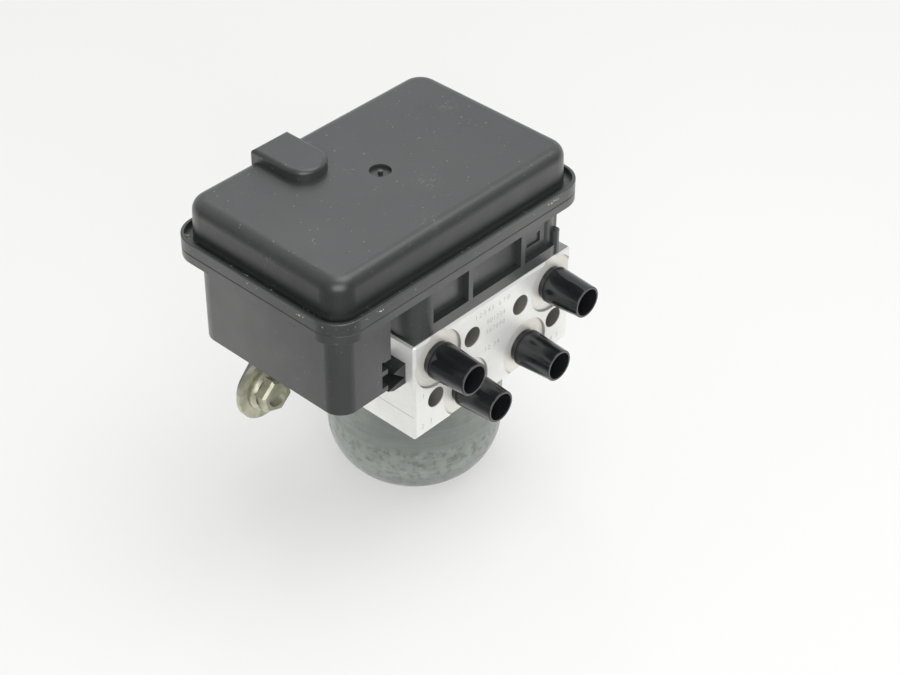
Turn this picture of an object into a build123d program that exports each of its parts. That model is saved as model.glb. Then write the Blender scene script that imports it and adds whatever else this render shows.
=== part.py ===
"""Anti-lock brake module: pump motor, machined valve block and electronic control unit.

The module stands on the end of its motor. The origin is on the motor's axis, at the end face.
+Z runs up the motor's axis, +X along the control unit and -Y out of the face with the ports.
"""
from build123d import *
import math
import os

# ------------------------------------------------------------------ driving dimensions (mm)
# Motor
MOTOR_R = 33.0
MOTOR_WALL = 2.0
MOTOR_DOME_R = 18.0          # radial size of the rounded lower end
MOTOR_DOME_H = 22.0          # height of the rounded lower end
CAN_H = 51.0
END_PLATE_T = 2.7
AIR_GAP = 1.2
MAGNET_T = 2.6
MAGNET_ARC = 130.0
MAGNET_MARGIN = 1.0          # magnet beyond each end of the core
CORE_RISE = 0.5              # core above the rounded end
WINDING_H = 3.6
WINDING_INSET = 3.0          # windings in from the core's rim
WINDING_LAP = 2.0            # windings' ends inside the slots' floors
WINDING_GAP = 0.4            # windings to commutator
COMMUTATOR_SLIT = 0.6
COMMUTATOR_GAP = 0.6         # commutator to the end plate's hub
SLOT_COUNT = 8
SLOT_W = 5.0
SLOT_IN_R = 12.0
COMMUTATOR_R = 7.5
COMMUTATOR_H = 6.6
SHAFT_R = 3.0
BEARING_R = 8.0
BEARING_H = 4.8
BEARING_SEAT = 0.2
BEARING_GROOVE_W = 2.2
BEARING_GROOVE_D = 0.5
HUB_WALL = 2.5
CUP_WALL = 1.8
CARD_T = 1.6
BRUSH_L = 8.0
BRUSH_W = 5.0
BRUSH_H = 4.4
RUNNING = 0.03               # radial clearance of a running fit
GAP = 0.3                    # clearance between pieces that move past each other
MOTOR_SCREW_OUT = 6.3        # screw axis beyond the can's wall
MOTOR_SCREW_ANGLE = 44.0
MOTOR_SCREW_R = 2.0
MOTOR_SCREW_HEAD_R = 3.6
MOTOR_SCREW_HEAD_H = 3.0
MOTOR_SCREW_DEPTH = 8.0
MOTOR_SCREW_HEX_R = 1.7
MOTOR_SCREW_HEX_H = 1.8
SCREW_CLEAR = 0.2
HOLE_END_GAP = 1.0           # free below a screw's end
EAR_R = 5.6

# Valve block
BLOCK_W = 81.4
BLOCK_D = 75.4
BLOCK_H = 41.3
BLOCK_FRONT = -39.4          # y of the face with the ports
BLOCK_EDGE = 0.9             # broken edges
PORT_R = 5.0
PORT_DEPTH = 12.0
SPOT_R = 11.4
SPOT_DEPTH = 1.0
PORTS_X = 1.0                # the port pattern sits a little off the motor's axis
UPPER_PORT_X = 29.7
LOWER_PORT_X = 15.6
UPPER_PORT_DROP = 11.3       # port axis below the top face
LOWER_PORT_DROP = 32.0
HOLE_R = 4.0
HOLE_DEPTH = 12.0
UPPER_HOLE_X = 12.6
LOWER_HOLE_X = 31.0
UPPER_HOLE_DROP = 11.6
LOWER_HOLE_DROP = 27.5

# Pump
CHAMBER_R = 11.0
CHAMBER_H = 17.3
PUMP_RISE = 9.8              # pump axis above the block's lower face
PUMP_BORE_R = 6.0
SLEEVE_L = 20.0
PISTON_R = 3.0
PISTON_L = 20.0
PISTON_EDGE = 0.4
ECCENTRICITY = 1.2
ECCENTRIC_R = 4.5
ECCENTRIC_LAP = 0.5          # eccentric beyond each end of its ring
RING_R = 8.0
RING_H = 9.0
PUMP_PLUG_R = 8.0
PUMP_PLUG_T = 5.0
PUMP_PLUG_HEX_R = 3.5
PUMP_PLUG_HEX_H = 2.6
ACC_BORE_R = 9.5
ACC_X = 22.0
ACC_PISTON_L = 7.0
ACC_STROKE = 7.0
ACC_SPRING_L = 4.0           # left free for the spring when the piston is all the way out
ACC_CAP_T = 4.0
ACC_CROWN = 2.0
ACC_PISTON_WALL = 2.5
ACC_CAP_SINK = 0.6           # cap below the block's back face
ACC_CAP_RIM = 2.0
ACC_CAP_DISH = 1.2

# Solenoid valves and coils
VALVE_PITCH_X = 17.0
VALVE_PITCH_Y = 17.0
VALVE_ROW_Y = -21.0          # front row
VALVE_R = 4.5
VALVE_SEAT = 17.0
DOME_R = 3.2
DOME_H = 14.0
DOME_EDGE = 1.6
COIL_R = 7.6
COIL_H = 15.0
COIL_CLEAR = 0.25
COIL_LIFT = 0.6              # coils above the block
COIL_FLANGE_T = 1.5
COIL_GROOVE = 0.8            # winding in from the bobbin's flanges

# Control unit
RIM_X0 = -80.3
RIM_X1 = 42.3
RIM_Y0 = -44.1
RIM_Y1 = 37.3
RIM_CORNER = 10.5
HOUSING_FLANGE_T = 4.2
HOUSING_CHAMFER = 0.8
SEAM_CHAMFER = 0.3           # broken edges where housing and cover meet
BODY_H = 26.9                # block top to the seam between housing and cover
BODY_X0 = -39.2
BODY_X1 = 38.3
BODY_SETBACK = 0.8           # body face behind the port face
BODY_Y1 = 33.4
BODY_CORNER = 8.5
BODY_WALL = 2.6
PANEL_WALL = 1.8             # behind the sunk panels
FOOT_H = 4.5                 # strip along the body's lower edge
POCKET_DEPTH = 2.8
POCKET_X0 = -30.5
RECESS_X0 = 20.3             # shallow square in the right-hand panel
RECESS_W = 6.9
RECESS_RISE = 7.9
RECESS_H = 4.2
RECESS_DEPTH = 0.7
RIB_W = 2.2
RIB_X = (-12.9, 14.1)
CLIP_R = 1.7
CLIP_X = 34.0
CLIP_H = 9.6
SKIRT_INSET = 3.5
SKIRT_W = 22.2
SKIRT_Y1 = 28.6
SKIRT_DROP = 35.7            # below the seam
SKIRT_CORNER = 7.0           # corners away from the block
SKIRT_SQUARE = 1.2           # corners beside the block
SKIRT_WALL = 2.2
NOTCH_W = 2.7                # two notches in the front corner beside the block
NOTCH_D = 4.0
NOTCHES = ((2.0, 5.2), (9.1, 4.0))     # lower edge above the socket's mouth, and height
CORNER_RIB_W = 2.0           # thin upright strip on that corner
CORNER_RIB_BACK = 0.5
CORNER_RIB_D = 2.6
CORNER_RIB_RISE = 12.0       # its lower end above the socket's mouth
SOCKET_ROOF = 8.0            # solid plastic over the connector socket
SPACER_Y0 = -35.2
SPACER_L = 10.0              # depth behind its front
SPACER_TOP = 8.6             # its top below the block's top face
SPACER_TEETH = ((5.8, 1.3), (0.5, 5.8), (8.6, 7.4), (5.8, 8.7))   # out from the block, and down
SPACER_H = 8.7               # whole height
ECU_SCREW_X = 32.0
ECU_SCREW_Y0 = -32.0
ECU_SCREW_Y1 = 26.0
ECU_SCREW_R = 2.5
ECU_SCREW_HEAD_R = 4.4
ECU_SCREW_HEAD_H = 2.6
ECU_SCREW_HEX_R = 2.2
ECU_SCREW_HEX_H = 1.6
ECU_SCREW_DEPTH = 5.5
ECU_POST_R = 4.6
TERMINAL_Y = 21.0            # motor lead that runs up through the block
TERMINAL_R = 3.2

# Cover
COVER_FLANGE_T = 4.8
COVER_LIP_W = 1.2            # thin rim round the flange
COVER_LIP_H = 2.0            # and the height that it stands over the trough behind it
COVER_LIP_EDGE = 0.4
COVER_INSET = 3.5
COVER_CORNER = 8.5
COVER_H = 13.5               # plateau above the flange
COVER_EDGE = 4.6
COVER_DRAFT = 2.0
COVER_WALL = 2.2
BUMP_X0 = -44.8
BUMP_X1 = -27.9
BUMP_L = 25.0
BUMP_H = 4.2
BUMP_EDGE = 1.6
DIMPLE_X = -19.4
DIMPLE_Y = -3.4
DIMPLE_R = 3.9
DIMPLE_DEPTH = 1.4
DIMPLE_NUB_R = 0.9

# Board
BOARD_T = 1.6
BOARD_INSET = 6.7
BOARD_CORNER = 5.5
BOARD_FOOT_INSET = 5.0       # centre of a foot in from the board's edge
BOARD_FOOT_R = 2.2
BOARD_STANDOFF = 1.2
CHIP_SPOTS = ((-20.0, 8.0), (8.0, 10.0), (8.0, -18.0), (-22.0, -22.0))
CHIP_SIZES = ((14.0, 14.0, 1.8), (10.0, 8.0, 1.6), (12.0, 12.0, 1.8), (8.0, 6.0, 1.4))
CAPACITOR_X = 24.0           # middle one of the row
CAPACITOR_Y = -8.0
CAPACITOR_PITCH = 14.0
CAPACITOR_COUNT = 3
CAPACITOR_R = 5.0
CAPACITOR_H = 7.5
PIN_W = 0.8
PIN_PITCH = 3.6
PIN_ROWS = 3
PIN_COUNT = 13
PIN_TIP = 4.0                # pin tip above the socket's mouth

# Port caps
CAP_BASE_R = 7.1
CAP_TIP_R = 6.1
CAP_L = 16.6
CAP_WALL = 0.9
CAP_HOLLOW = 11.0
CAP_NECK_R = 6.3
CAP_NECK_L = 1.6
CAP_STEM_L = 8.0
CAP_FOOT_EDGE = 0.6
CAP_TIP_EDGE = 0.35

# Bracket and its bolt
BRACKET_T = 2.2
FOOT_RISE = 4.9              # bracket's screws above the block's lower face
FOOT_R = 4.6
FOOT_SCREW_X = (-33.5, -12.0)
FOOT_SCREW_R = 2.0
FOOT_SCREW_DEPTH = 8.0
FOOT_SCREW_HEAD_R = 3.5
FOOT_SCREW_HEAD_H = 2.4
FOOT_SCREW_HEX_R = 1.7
FOOT_SCREW_HEX_H = 1.4
EAR_X = -44.3
EAR_DROP = 15.5              # bolt's axis below the block's lower face
EAR_END_R = 10.5
WASHER_R = 12.5
WASHER_T = 2.0
BOLT_R = 4.0
BOLT_CLEAR = 0.05
BOLT_FLANGE_R = 8.6
BOLT_FLANGE_T = 1.4
BOLT_AF = 13.0
BOLT_HEAD_H = 7.0
BOLT_DISH_R = 4.2
BOLT_DISH_H = 1.8
BOLT_TAIL = 1.2

# ------------------------------------------------------------------ heights that follow
BLOCK_Z0 = CAN_H + END_PLATE_T
BLOCK_Z1 = BLOCK_Z0 + BLOCK_H
BLOCK_X0 = -BLOCK_W / 2
BLOCK_X1 = BLOCK_W / 2
BLOCK_BACK = BLOCK_FRONT + BLOCK_D
SEAM_Z = BLOCK_Z1 + BODY_H
FLANGE_Z0 = SEAM_Z - HOUSING_FLANGE_T
COVER_Z0 = SEAM_Z + COVER_FLANGE_T
COVER_TOP = COVER_Z0 + COVER_H
BODY_Y0 = BLOCK_FRONT + BODY_SETBACK
SKIRT_X0 = RIM_X0 + SKIRT_INSET
SKIRT_X1 = SKIRT_X0 + SKIRT_W
SKIRT_Y0 = RIM_Y0 + SKIRT_INSET
SKIRT_Z0 = SEAM_Z - SKIRT_DROP
HUB_H = BEARING_H + BEARING_SEAT
HUB_Z = BLOCK_Z0 - HUB_H
CARD_Z = HUB_Z - CARD_T
COMM_Z = HUB_Z - COMMUTATOR_GAP - COMMUTATOR_H
CORE_Z = MOTOR_DOME_H + CORE_RISE
CORE_H = COMM_Z - WINDING_GAP - WINDING_H - CORE_Z
PUMP_Z = BLOCK_Z0 + PUMP_RISE
VALVE_X = [VALVE_PITCH_X * (i - 1.5) for i in range(4)]
VALVE_ROWS = (VALVE_ROW_Y, VALVE_ROW_Y + VALVE_PITCH_Y)
ACC_Z = BLOCK_Z0 + BLOCK_H / 2
FOOT_Z = BLOCK_Z0 + FOOT_RISE
EAR_Z = BLOCK_Z0 - EAR_DROP
ACC_DEPTH = ACC_PISTON_L + ACC_STROKE + ACC_SPRING_L + ACC_CAP_T
PORTS = [
    (PORTS_X - UPPER_PORT_X, BLOCK_Z1 - UPPER_PORT_DROP),
    (PORTS_X + UPPER_PORT_X, BLOCK_Z1 - UPPER_PORT_DROP),
    (PORTS_X + LOWER_PORT_X, BLOCK_Z1 - LOWER_PORT_DROP),
    (PORTS_X - LOWER_PORT_X, BLOCK_Z1 - LOWER_PORT_DROP),
]
HOLES = [
    (PORTS_X - UPPER_HOLE_X, BLOCK_Z1 - UPPER_HOLE_DROP),
    (PORTS_X + UPPER_HOLE_X, BLOCK_Z1 - UPPER_HOLE_DROP),
    (PORTS_X - LOWER_HOLE_X, BLOCK_Z1 - LOWER_HOLE_DROP),
    (PORTS_X + LOWER_HOLE_X, BLOCK_Z1 - LOWER_HOLE_DROP),
]
ECU_SCREWS = [(x, y) for x in (-ECU_SCREW_X, ECU_SCREW_X) for y in (ECU_SCREW_Y0, ECU_SCREW_Y1)]


def front_plane(x, z, y=BLOCK_FRONT):
    """A plane on the port face, its normal pointing out of the block."""
    return Plane(origin=(x, y, z), x_dir=(1, 0, 0), z_dir=(0, -1, 0))


def side_plane(side, x, y, z):
    """A plane on the block's left (-1) or right (+1) face, its normal pointing outward."""
    return Plane(origin=(x, y, z), x_dir=(0, side, 0), z_dir=(side, 0, 0))


def back_plane(x, z, y=BLOCK_BACK):
    """A plane on the back face, its normal pointing out of the block."""
    return Plane(origin=(x, y, z), x_dir=(-1, 0, 0), z_dir=(0, 1, 0))


def plate_sketch(x0, x1, y0, y1, corner):
    """Draw a rounded rectangle between two corners in the sketch that is open."""
    with Locations(((x0 + x1) / 2, (y0 + y1) / 2)):
        RectangleRounded(x1 - x0, y1 - y0, corner)


def skirt_sketch(inset):
    """Draw the plug socket's outline, or its cavity at an inset, in the sketch that is open."""
    x0, x1 = SKIRT_X0 + inset, SKIRT_X1 - inset
    y0, y1 = SKIRT_Y0 + inset, SKIRT_Y1 - inset
    with Locations(((x0 + x1) / 2, (y0 + y1) / 2)):
        outline = Rectangle(x1 - x0, y1 - y0)
    fillet(outline.vertices().group_by(Axis.X)[0], SKIRT_CORNER - inset)
    fillet(outline.vertices().group_by(Axis.X)[-1], max(SKIRT_SQUARE - inset, SKIRT_SQUARE / 4))


def save(part, name):
    """Label a finished piece and write it to its own file."""
    part.label = name
    export_step(part, f"parts/{name}.step")


os.makedirs("parts", exist_ok=True)

# ------------------------------------------------------------------ motor can
# A deep-drawn steel can: straight wall, wide rounded lower end, flat end face to stand on.
with BuildPart() as motor_can:
    with BuildSketch(Plane.XZ):
        with BuildLine():
            foot = MOTOR_R - MOTOR_DOME_R
            Line((0, 0), (foot, 0))
            EllipticalCenterArc((foot, MOTOR_DOME_H), MOTOR_DOME_R, MOTOR_DOME_H, 270, arc_size=90)
            Line((MOTOR_R, MOTOR_DOME_H), (MOTOR_R, CAN_H))
            Line((MOTOR_R, CAN_H), (MOTOR_R - MOTOR_WALL, CAN_H))
            Line((MOTOR_R - MOTOR_WALL, CAN_H), (MOTOR_R - MOTOR_WALL, MOTOR_DOME_H))
            EllipticalCenterArc(
                (foot, MOTOR_DOME_H),
                MOTOR_DOME_R - MOTOR_WALL,
                MOTOR_DOME_H - MOTOR_WALL,
                270,
                arc_size=90,
            )
            Line((foot, MOTOR_WALL), (0, MOTOR_WALL))
            Line((0, MOTOR_WALL), (0, 0))
        make_face()
    revolve(axis=Axis.Z)
    with BuildSketch(Plane.XY.offset(MOTOR_WALL)):
        Circle(BEARING_R + CUP_WALL)
        Circle(BEARING_R, mode=Mode.SUBTRACT)
    extrude(amount=BEARING_H)
save(motor_can.part, "motor_can")

# ------------------------------------------------------------------ end plate
# Closes the can, carries the upper bearing and bolts to the block by two ears.
screw_reach = MOTOR_R + MOTOR_SCREW_OUT
screw_x = screw_reach * math.cos(math.radians(MOTOR_SCREW_ANGLE))
screw_y = screw_reach * math.sin(math.radians(MOTOR_SCREW_ANGLE))
SCREW_SPOTS = [(-screw_x, -screw_y), (screw_x, screw_y)]
with BuildPart() as end_plate:
    with BuildSketch(Plane.XY.offset(CAN_H)):
        Circle(MOTOR_R)
        with Locations(*SCREW_SPOTS):
            Circle(EAR_R)
        make_hull()
    extrude(amount=END_PLATE_T)
    with BuildSketch(Plane.XY.offset(BLOCK_Z0)):
        Circle(BEARING_R + HUB_WALL)
    extrude(amount=-HUB_H)
    with BuildSketch(Plane.XY.offset(BLOCK_Z0)):
        Circle(BEARING_R)
    extrude(amount=-HUB_H, mode=Mode.SUBTRACT)
    with BuildSketch(Plane.XY.offset(CAN_H)):
        with Locations(*SCREW_SPOTS):
            Circle(MOTOR_SCREW_R + SCREW_CLEAR)
        with Locations((0, TERMINAL_Y)):
            Circle(TERMINAL_R + GAP)
    extrude(amount=END_PLATE_T, mode=Mode.SUBTRACT)
save(end_plate.part, "motor_end_plate")

with BuildPart() as motor_screws:
    with BuildSketch(Plane.XY.offset(CAN_H)):
        with Locations(*SCREW_SPOTS):
            Circle(MOTOR_SCREW_HEAD_R)
    extrude(amount=-MOTOR_SCREW_HEAD_H)
    with BuildSketch(Plane.XY.offset(CAN_H)):
        with Locations(*SCREW_SPOTS):
            Circle(MOTOR_SCREW_R)
    extrude(amount=END_PLATE_T + MOTOR_SCREW_DEPTH - HOLE_END_GAP)
    with BuildSketch(Plane.XY.offset(CAN_H - MOTOR_SCREW_HEAD_H)):
        with Locations(*SCREW_SPOTS):
            RegularPolygon(MOTOR_SCREW_HEX_R, 6)
    extrude(amount=MOTOR_SCREW_HEX_H, mode=Mode.SUBTRACT)
save(motor_screws.part, "motor_screws")

# ------------------------------------------------------------------ magnets
MAGNET_OUT = MOTOR_R - MOTOR_WALL
for index, middle in enumerate((0, 180), start=1):
    with BuildPart() as magnet:
        with BuildSketch(Plane.XY.offset(MOTOR_DOME_H)):
            with BuildLine():
                arc_out = CenterArc((0, 0), MAGNET_OUT, middle - MAGNET_ARC / 2, MAGNET_ARC)
                arc_in = CenterArc(
                    (0, 0), MAGNET_OUT - MAGNET_T, middle - MAGNET_ARC / 2, MAGNET_ARC
                )
                Line(arc_out @ 0, arc_in @ 0)
                Line(arc_out @ 1, arc_in @ 1)
            make_face()
        extrude(amount=CORE_RISE + CORE_H + MAGNET_MARGIN)
    save(magnet.part, f"motor_magnet_{index}")

# ------------------------------------------------------------------ rotor
CORE_R = MAGNET_OUT - MAGNET_T - AIR_GAP
WINDING_R = CORE_R - WINDING_INSET
with BuildPart() as rotor_core:
    with BuildSketch(Plane.XY.offset(CORE_Z)):
        Circle(CORE_R)
        with PolarLocations((SLOT_IN_R + CORE_R) / 2, SLOT_COUNT):
            Rectangle(CORE_R - SLOT_IN_R, SLOT_W, mode=Mode.SUBTRACT)
        Circle(SHAFT_R, mode=Mode.SUBTRACT)
    extrude(amount=CORE_H)
save(rotor_core.part, "rotor_core")

with BuildPart() as rotor_windings:
    for base in (CORE_Z - WINDING_H, CORE_Z + CORE_H):
        with BuildSketch(Plane.XY.offset(base)):
            Circle(WINDING_R)
            Circle(SLOT_IN_R - WINDING_LAP, mode=Mode.SUBTRACT)
        extrude(amount=WINDING_H)
    with BuildSketch(Plane.XY.offset(CORE_Z)):
        with PolarLocations((SLOT_IN_R + WINDING_R) / 2, SLOT_COUNT):
            Rectangle(WINDING_R - SLOT_IN_R, SLOT_W)
    extrude(amount=CORE_H)
save(rotor_windings.part, "rotor_windings")

with BuildPart() as commutator:
    with BuildSketch(Plane.XY.offset(COMM_Z)):
        Circle(COMMUTATOR_R)
        Circle(SHAFT_R, mode=Mode.SUBTRACT)
    extrude(amount=COMMUTATOR_H)
    with BuildSketch(Plane.XY.offset(COMM_Z)):
        with PolarLocations(COMMUTATOR_R, SLOT_COUNT):
            Rectangle(2 * COMMUTATOR_SLIT, COMMUTATOR_SLIT)
    extrude(amount=COMMUTATOR_H, mode=Mode.SUBTRACT)
save(commutator.part, "commutator")

SHAFT_Z0 = MOTOR_WALL + 2 * BEARING_SEAT
ECC_Z0 = PUMP_Z - RING_H / 2 - ECCENTRIC_LAP
ECC_Z1 = PUMP_Z + RING_H / 2 + ECCENTRIC_LAP
with BuildPart() as motor_shaft:
    with BuildSketch(Plane.XY.offset(SHAFT_Z0)):
        Circle(SHAFT_R)
    extrude(amount=ECC_Z0 - SHAFT_Z0)
    with BuildSketch(Plane.XY.offset(ECC_Z0)):
        with Locations((0, ECCENTRICITY)):
            Circle(ECCENTRIC_R)
    extrude(amount=ECC_Z1 - ECC_Z0)
save(motor_shaft.part, "motor_shaft")

with BuildPart() as eccentric_ring:
    with BuildSketch(Plane.XY.offset(PUMP_Z - RING_H / 2)):
        with Locations((0, ECCENTRICITY)):
            Circle(RING_R)
            Circle(ECCENTRIC_R + RUNNING, mode=Mode.SUBTRACT)
    extrude(amount=RING_H)
save(eccentric_ring.part, "eccentric_ring")

for name, base in (
    ("shaft_bearing_lower", MOTOR_WALL + BEARING_SEAT),
    ("shaft_bearing_upper", BLOCK_Z0 - BEARING_H),
):
    with BuildPart() as bearing:
        with BuildSketch(Plane.XY.offset(base)):
            Circle(BEARING_R)
            Circle(SHAFT_R + RUNNING, mode=Mode.SUBTRACT)
        extrude(amount=BEARING_H - BEARING_SEAT)
        groove_r = (BEARING_R + SHAFT_R) / 2
        with BuildSketch(Plane.XY.offset(base)):
            Circle(groove_r + BEARING_GROOVE_W / 2)
            Circle(groove_r - BEARING_GROOVE_W / 2, mode=Mode.SUBTRACT)
        extrude(amount=BEARING_GROOVE_D, mode=Mode.SUBTRACT)
    save(bearing.part, name)

# ------------------------------------------------------------------ brush card and brushes
with BuildPart() as brush_card:
    with BuildSketch(Plane.XY.offset(CARD_Z)):
        Circle(MOTOR_R - MOTOR_WALL)
        Circle(BEARING_R + HUB_WALL + GAP, mode=Mode.SUBTRACT)
        with Locations((0, TERMINAL_Y)):
            Circle(TERMINAL_R, mode=Mode.SUBTRACT)
    extrude(amount=CARD_T)
save(brush_card.part, "brush_card")

for index, side in enumerate((-1, 1), start=1):
    with BuildPart() as brush:
        with BuildSketch(Plane.XY.offset(CARD_Z)):
            with Locations((side * (COMMUTATOR_R + GAP + BRUSH_L / 2), 0)):
                Rectangle(BRUSH_L, BRUSH_W)
        extrude(amount=-BRUSH_H)
    save(brush.part, f"brush_{index}")

# ------------------------------------------------------------------ valve block
with BuildPart() as valve_block:
    with BuildSketch(Plane.XY.offset(BLOCK_Z0)):
        with Locations((0, (BLOCK_FRONT + BLOCK_BACK) / 2)):
            Rectangle(BLOCK_W, BLOCK_D)
    extrude(amount=BLOCK_H)
    chamfer(valve_block.edges(), BLOCK_EDGE)
    for x, z in PORTS:
        with BuildSketch(front_plane(x, z)):
            Circle(SPOT_R)
        extrude(amount=-SPOT_DEPTH, mode=Mode.SUBTRACT)
        with BuildSketch(front_plane(x, z)):
            Circle(PORT_R)
        extrude(amount=-PORT_DEPTH, mode=Mode.SUBTRACT)
    for x, z in HOLES:
        with BuildSketch(front_plane(x, z)):
            Circle(HOLE_R)
        extrude(amount=-HOLE_DEPTH, mode=Mode.SUBTRACT)
    with BuildSketch(Plane.XY.offset(BLOCK_Z0)):
        Circle(CHAMBER_R)
    extrude(amount=CHAMBER_H, mode=Mode.SUBTRACT)
    with BuildSketch(Plane.XY.offset(BLOCK_Z0)):
        with Locations(*SCREW_SPOTS):
            Circle(MOTOR_SCREW_R)
    extrude(amount=MOTOR_SCREW_DEPTH, mode=Mode.SUBTRACT)
    with BuildSketch(Plane.XY.offset(BLOCK_Z0)):
        with Locations((0, TERMINAL_Y)):
            Circle(TERMINAL_R + GAP)
    extrude(amount=BLOCK_H, mode=Mode.SUBTRACT)
    with BuildSketch(Plane.XY.offset(BLOCK_Z1)):
        for row in VALVE_ROWS:
            with Locations(*[(x, row) for x in VALVE_X]):
                Circle(VALVE_R)
    extrude(amount=-VALVE_SEAT, mode=Mode.SUBTRACT)
    with BuildSketch(Plane.XY.offset(BLOCK_Z1)):
        with Locations(*ECU_SCREWS):
            Circle(ECU_SCREW_R)
    extrude(amount=-ECU_SCREW_DEPTH, mode=Mode.SUBTRACT)
    for side in (-1, 1):
        with BuildSketch(side_plane(side, side * BLOCK_W / 2, 0, PUMP_Z)):
            Circle(PUMP_BORE_R)
        extrude(amount=-BLOCK_W / 2 + CHAMBER_R / 2, mode=Mode.SUBTRACT)
        with BuildSketch(side_plane(side, side * BLOCK_W / 2, 0, PUMP_Z)):
            Circle(PUMP_PLUG_R)
        extrude(amount=-PUMP_PLUG_T, mode=Mode.SUBTRACT)
        with BuildSketch(back_plane(side * ACC_X, ACC_Z)):
            Circle(ACC_BORE_R)
        extrude(amount=-ACC_DEPTH, mode=Mode.SUBTRACT)
    for x in FOOT_SCREW_X:
        with BuildSketch(back_plane(x, FOOT_Z)):
            Circle(FOOT_SCREW_R)
        extrude(amount=-FOOT_SCREW_DEPTH, mode=Mode.SUBTRACT)
save(valve_block.part, "valve_block")

# ------------------------------------------------------------------ pump elements
PISTON_X = RING_R + ECCENTRICITY + GAP     # inner end of a piston, clear of the ring's sweep
SLEEVE_X = BLOCK_W / 2 - PUMP_PLUG_T - SLEEVE_L
for index, side in enumerate((-1, 1), start=1):
    with BuildPart() as pump_sleeve:
        with BuildSketch(side_plane(side, side * SLEEVE_X, 0, PUMP_Z)):
            Circle(PUMP_BORE_R)
            Circle(PISTON_R + RUNNING, mode=Mode.SUBTRACT)
        extrude(amount=SLEEVE_L)
    save(pump_sleeve.part, f"pump_sleeve_{index}")

    with BuildPart() as pump_piston:
        with BuildSketch(side_plane(side, side * PISTON_X, 0, PUMP_Z)):
            Circle(PISTON_R)
        extrude(amount=PISTON_L)
        chamfer(pump_piston.edges().filter_by(GeomType.CIRCLE), PISTON_EDGE)
    save(pump_piston.part, f"pump_piston_{index}")

    with BuildPart() as pump_plug:
        with BuildSketch(side_plane(side, side * (BLOCK_W / 2 - PUMP_PLUG_T), 0, PUMP_Z)):
            Circle(PUMP_PLUG_R)
        extrude(amount=PUMP_PLUG_T)
        with BuildSketch(side_plane(side, side * BLOCK_W / 2, 0, PUMP_Z)):
            RegularPolygon(PUMP_PLUG_HEX_R, 6)
        extrude(amount=-PUMP_PLUG_HEX_H, mode=Mode.SUBTRACT)
    save(pump_plug.part, f"pump_plug_{index}")

    with BuildPart() as accumulator_piston:
        with BuildSketch(back_plane(side * ACC_X, ACC_Z, BLOCK_BACK - ACC_DEPTH)):
            Circle(ACC_BORE_R - RUNNING)
        extrude(amount=ACC_PISTON_L)
        with BuildSketch(back_plane(side * ACC_X, ACC_Z, BLOCK_BACK - ACC_DEPTH + ACC_CROWN)):
            Circle(ACC_BORE_R - ACC_PISTON_WALL)
        extrude(amount=ACC_PISTON_L, mode=Mode.SUBTRACT)
    save(accumulator_piston.part, f"accumulator_piston_{index}")

    with BuildPart() as accumulator_cap:
        with BuildSketch(back_plane(side * ACC_X, ACC_Z, BLOCK_BACK - ACC_CAP_T)):
            Circle(ACC_BORE_R)
        extrude(amount=ACC_CAP_T - ACC_CAP_SINK)
        with BuildSketch(back_plane(side * ACC_X, ACC_Z, BLOCK_BACK - ACC_CAP_SINK)):
            Circle(ACC_BORE_R - ACC_CAP_RIM)
        extrude(amount=-ACC_CAP_DISH, mode=Mode.SUBTRACT)
    save(accumulator_cap.part, f"accumulator_cap_{index}")

# ------------------------------------------------------------------ solenoid valves and coils
for name, row in zip(("inlet_valves", "outlet_valves"), VALVE_ROWS):
    with BuildPart() as valves:
        with BuildSketch(Plane.XY.offset(BLOCK_Z1)):
            with Locations(*[(x, row) for x in VALVE_X]):
                Circle(VALVE_R)
        extrude(amount=-VALVE_SEAT)
        with BuildSketch(Plane.XY.offset(BLOCK_Z1)):
            with Locations(*[(x, row) for x in VALVE_X]):
                Circle(DOME_R)
        extrude(amount=DOME_H)
        fillet(valves.faces().group_by(Axis.Z)[-1].edges(), DOME_EDGE)
    save(valves.part, name)

COIL_Z0 = BLOCK_Z1 + COIL_LIFT
with BuildPart() as solenoid_coils:
    for row in VALVE_ROWS:
        with BuildSketch(Plane.XY.offset(COIL_Z0)):
            with Locations(*[(x, row) for x in VALVE_X]):
                Circle(COIL_R)
                Circle(DOME_R + COIL_CLEAR, mode=Mode.SUBTRACT)
        extrude(amount=COIL_H)
    for row in VALVE_ROWS:
        with BuildSketch(Plane.XY.offset(COIL_Z0 + COIL_FLANGE_T)):
            with Locations(*[(x, row) for x in VALVE_X]):
                Circle(COIL_R)
                Circle(COIL_R - COIL_GROOVE, mode=Mode.SUBTRACT)
        extrude(amount=COIL_H - 2 * COIL_FLANGE_T, mode=Mode.SUBTRACT)
save(solenoid_coils.part, "solenoid_coils")

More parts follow.
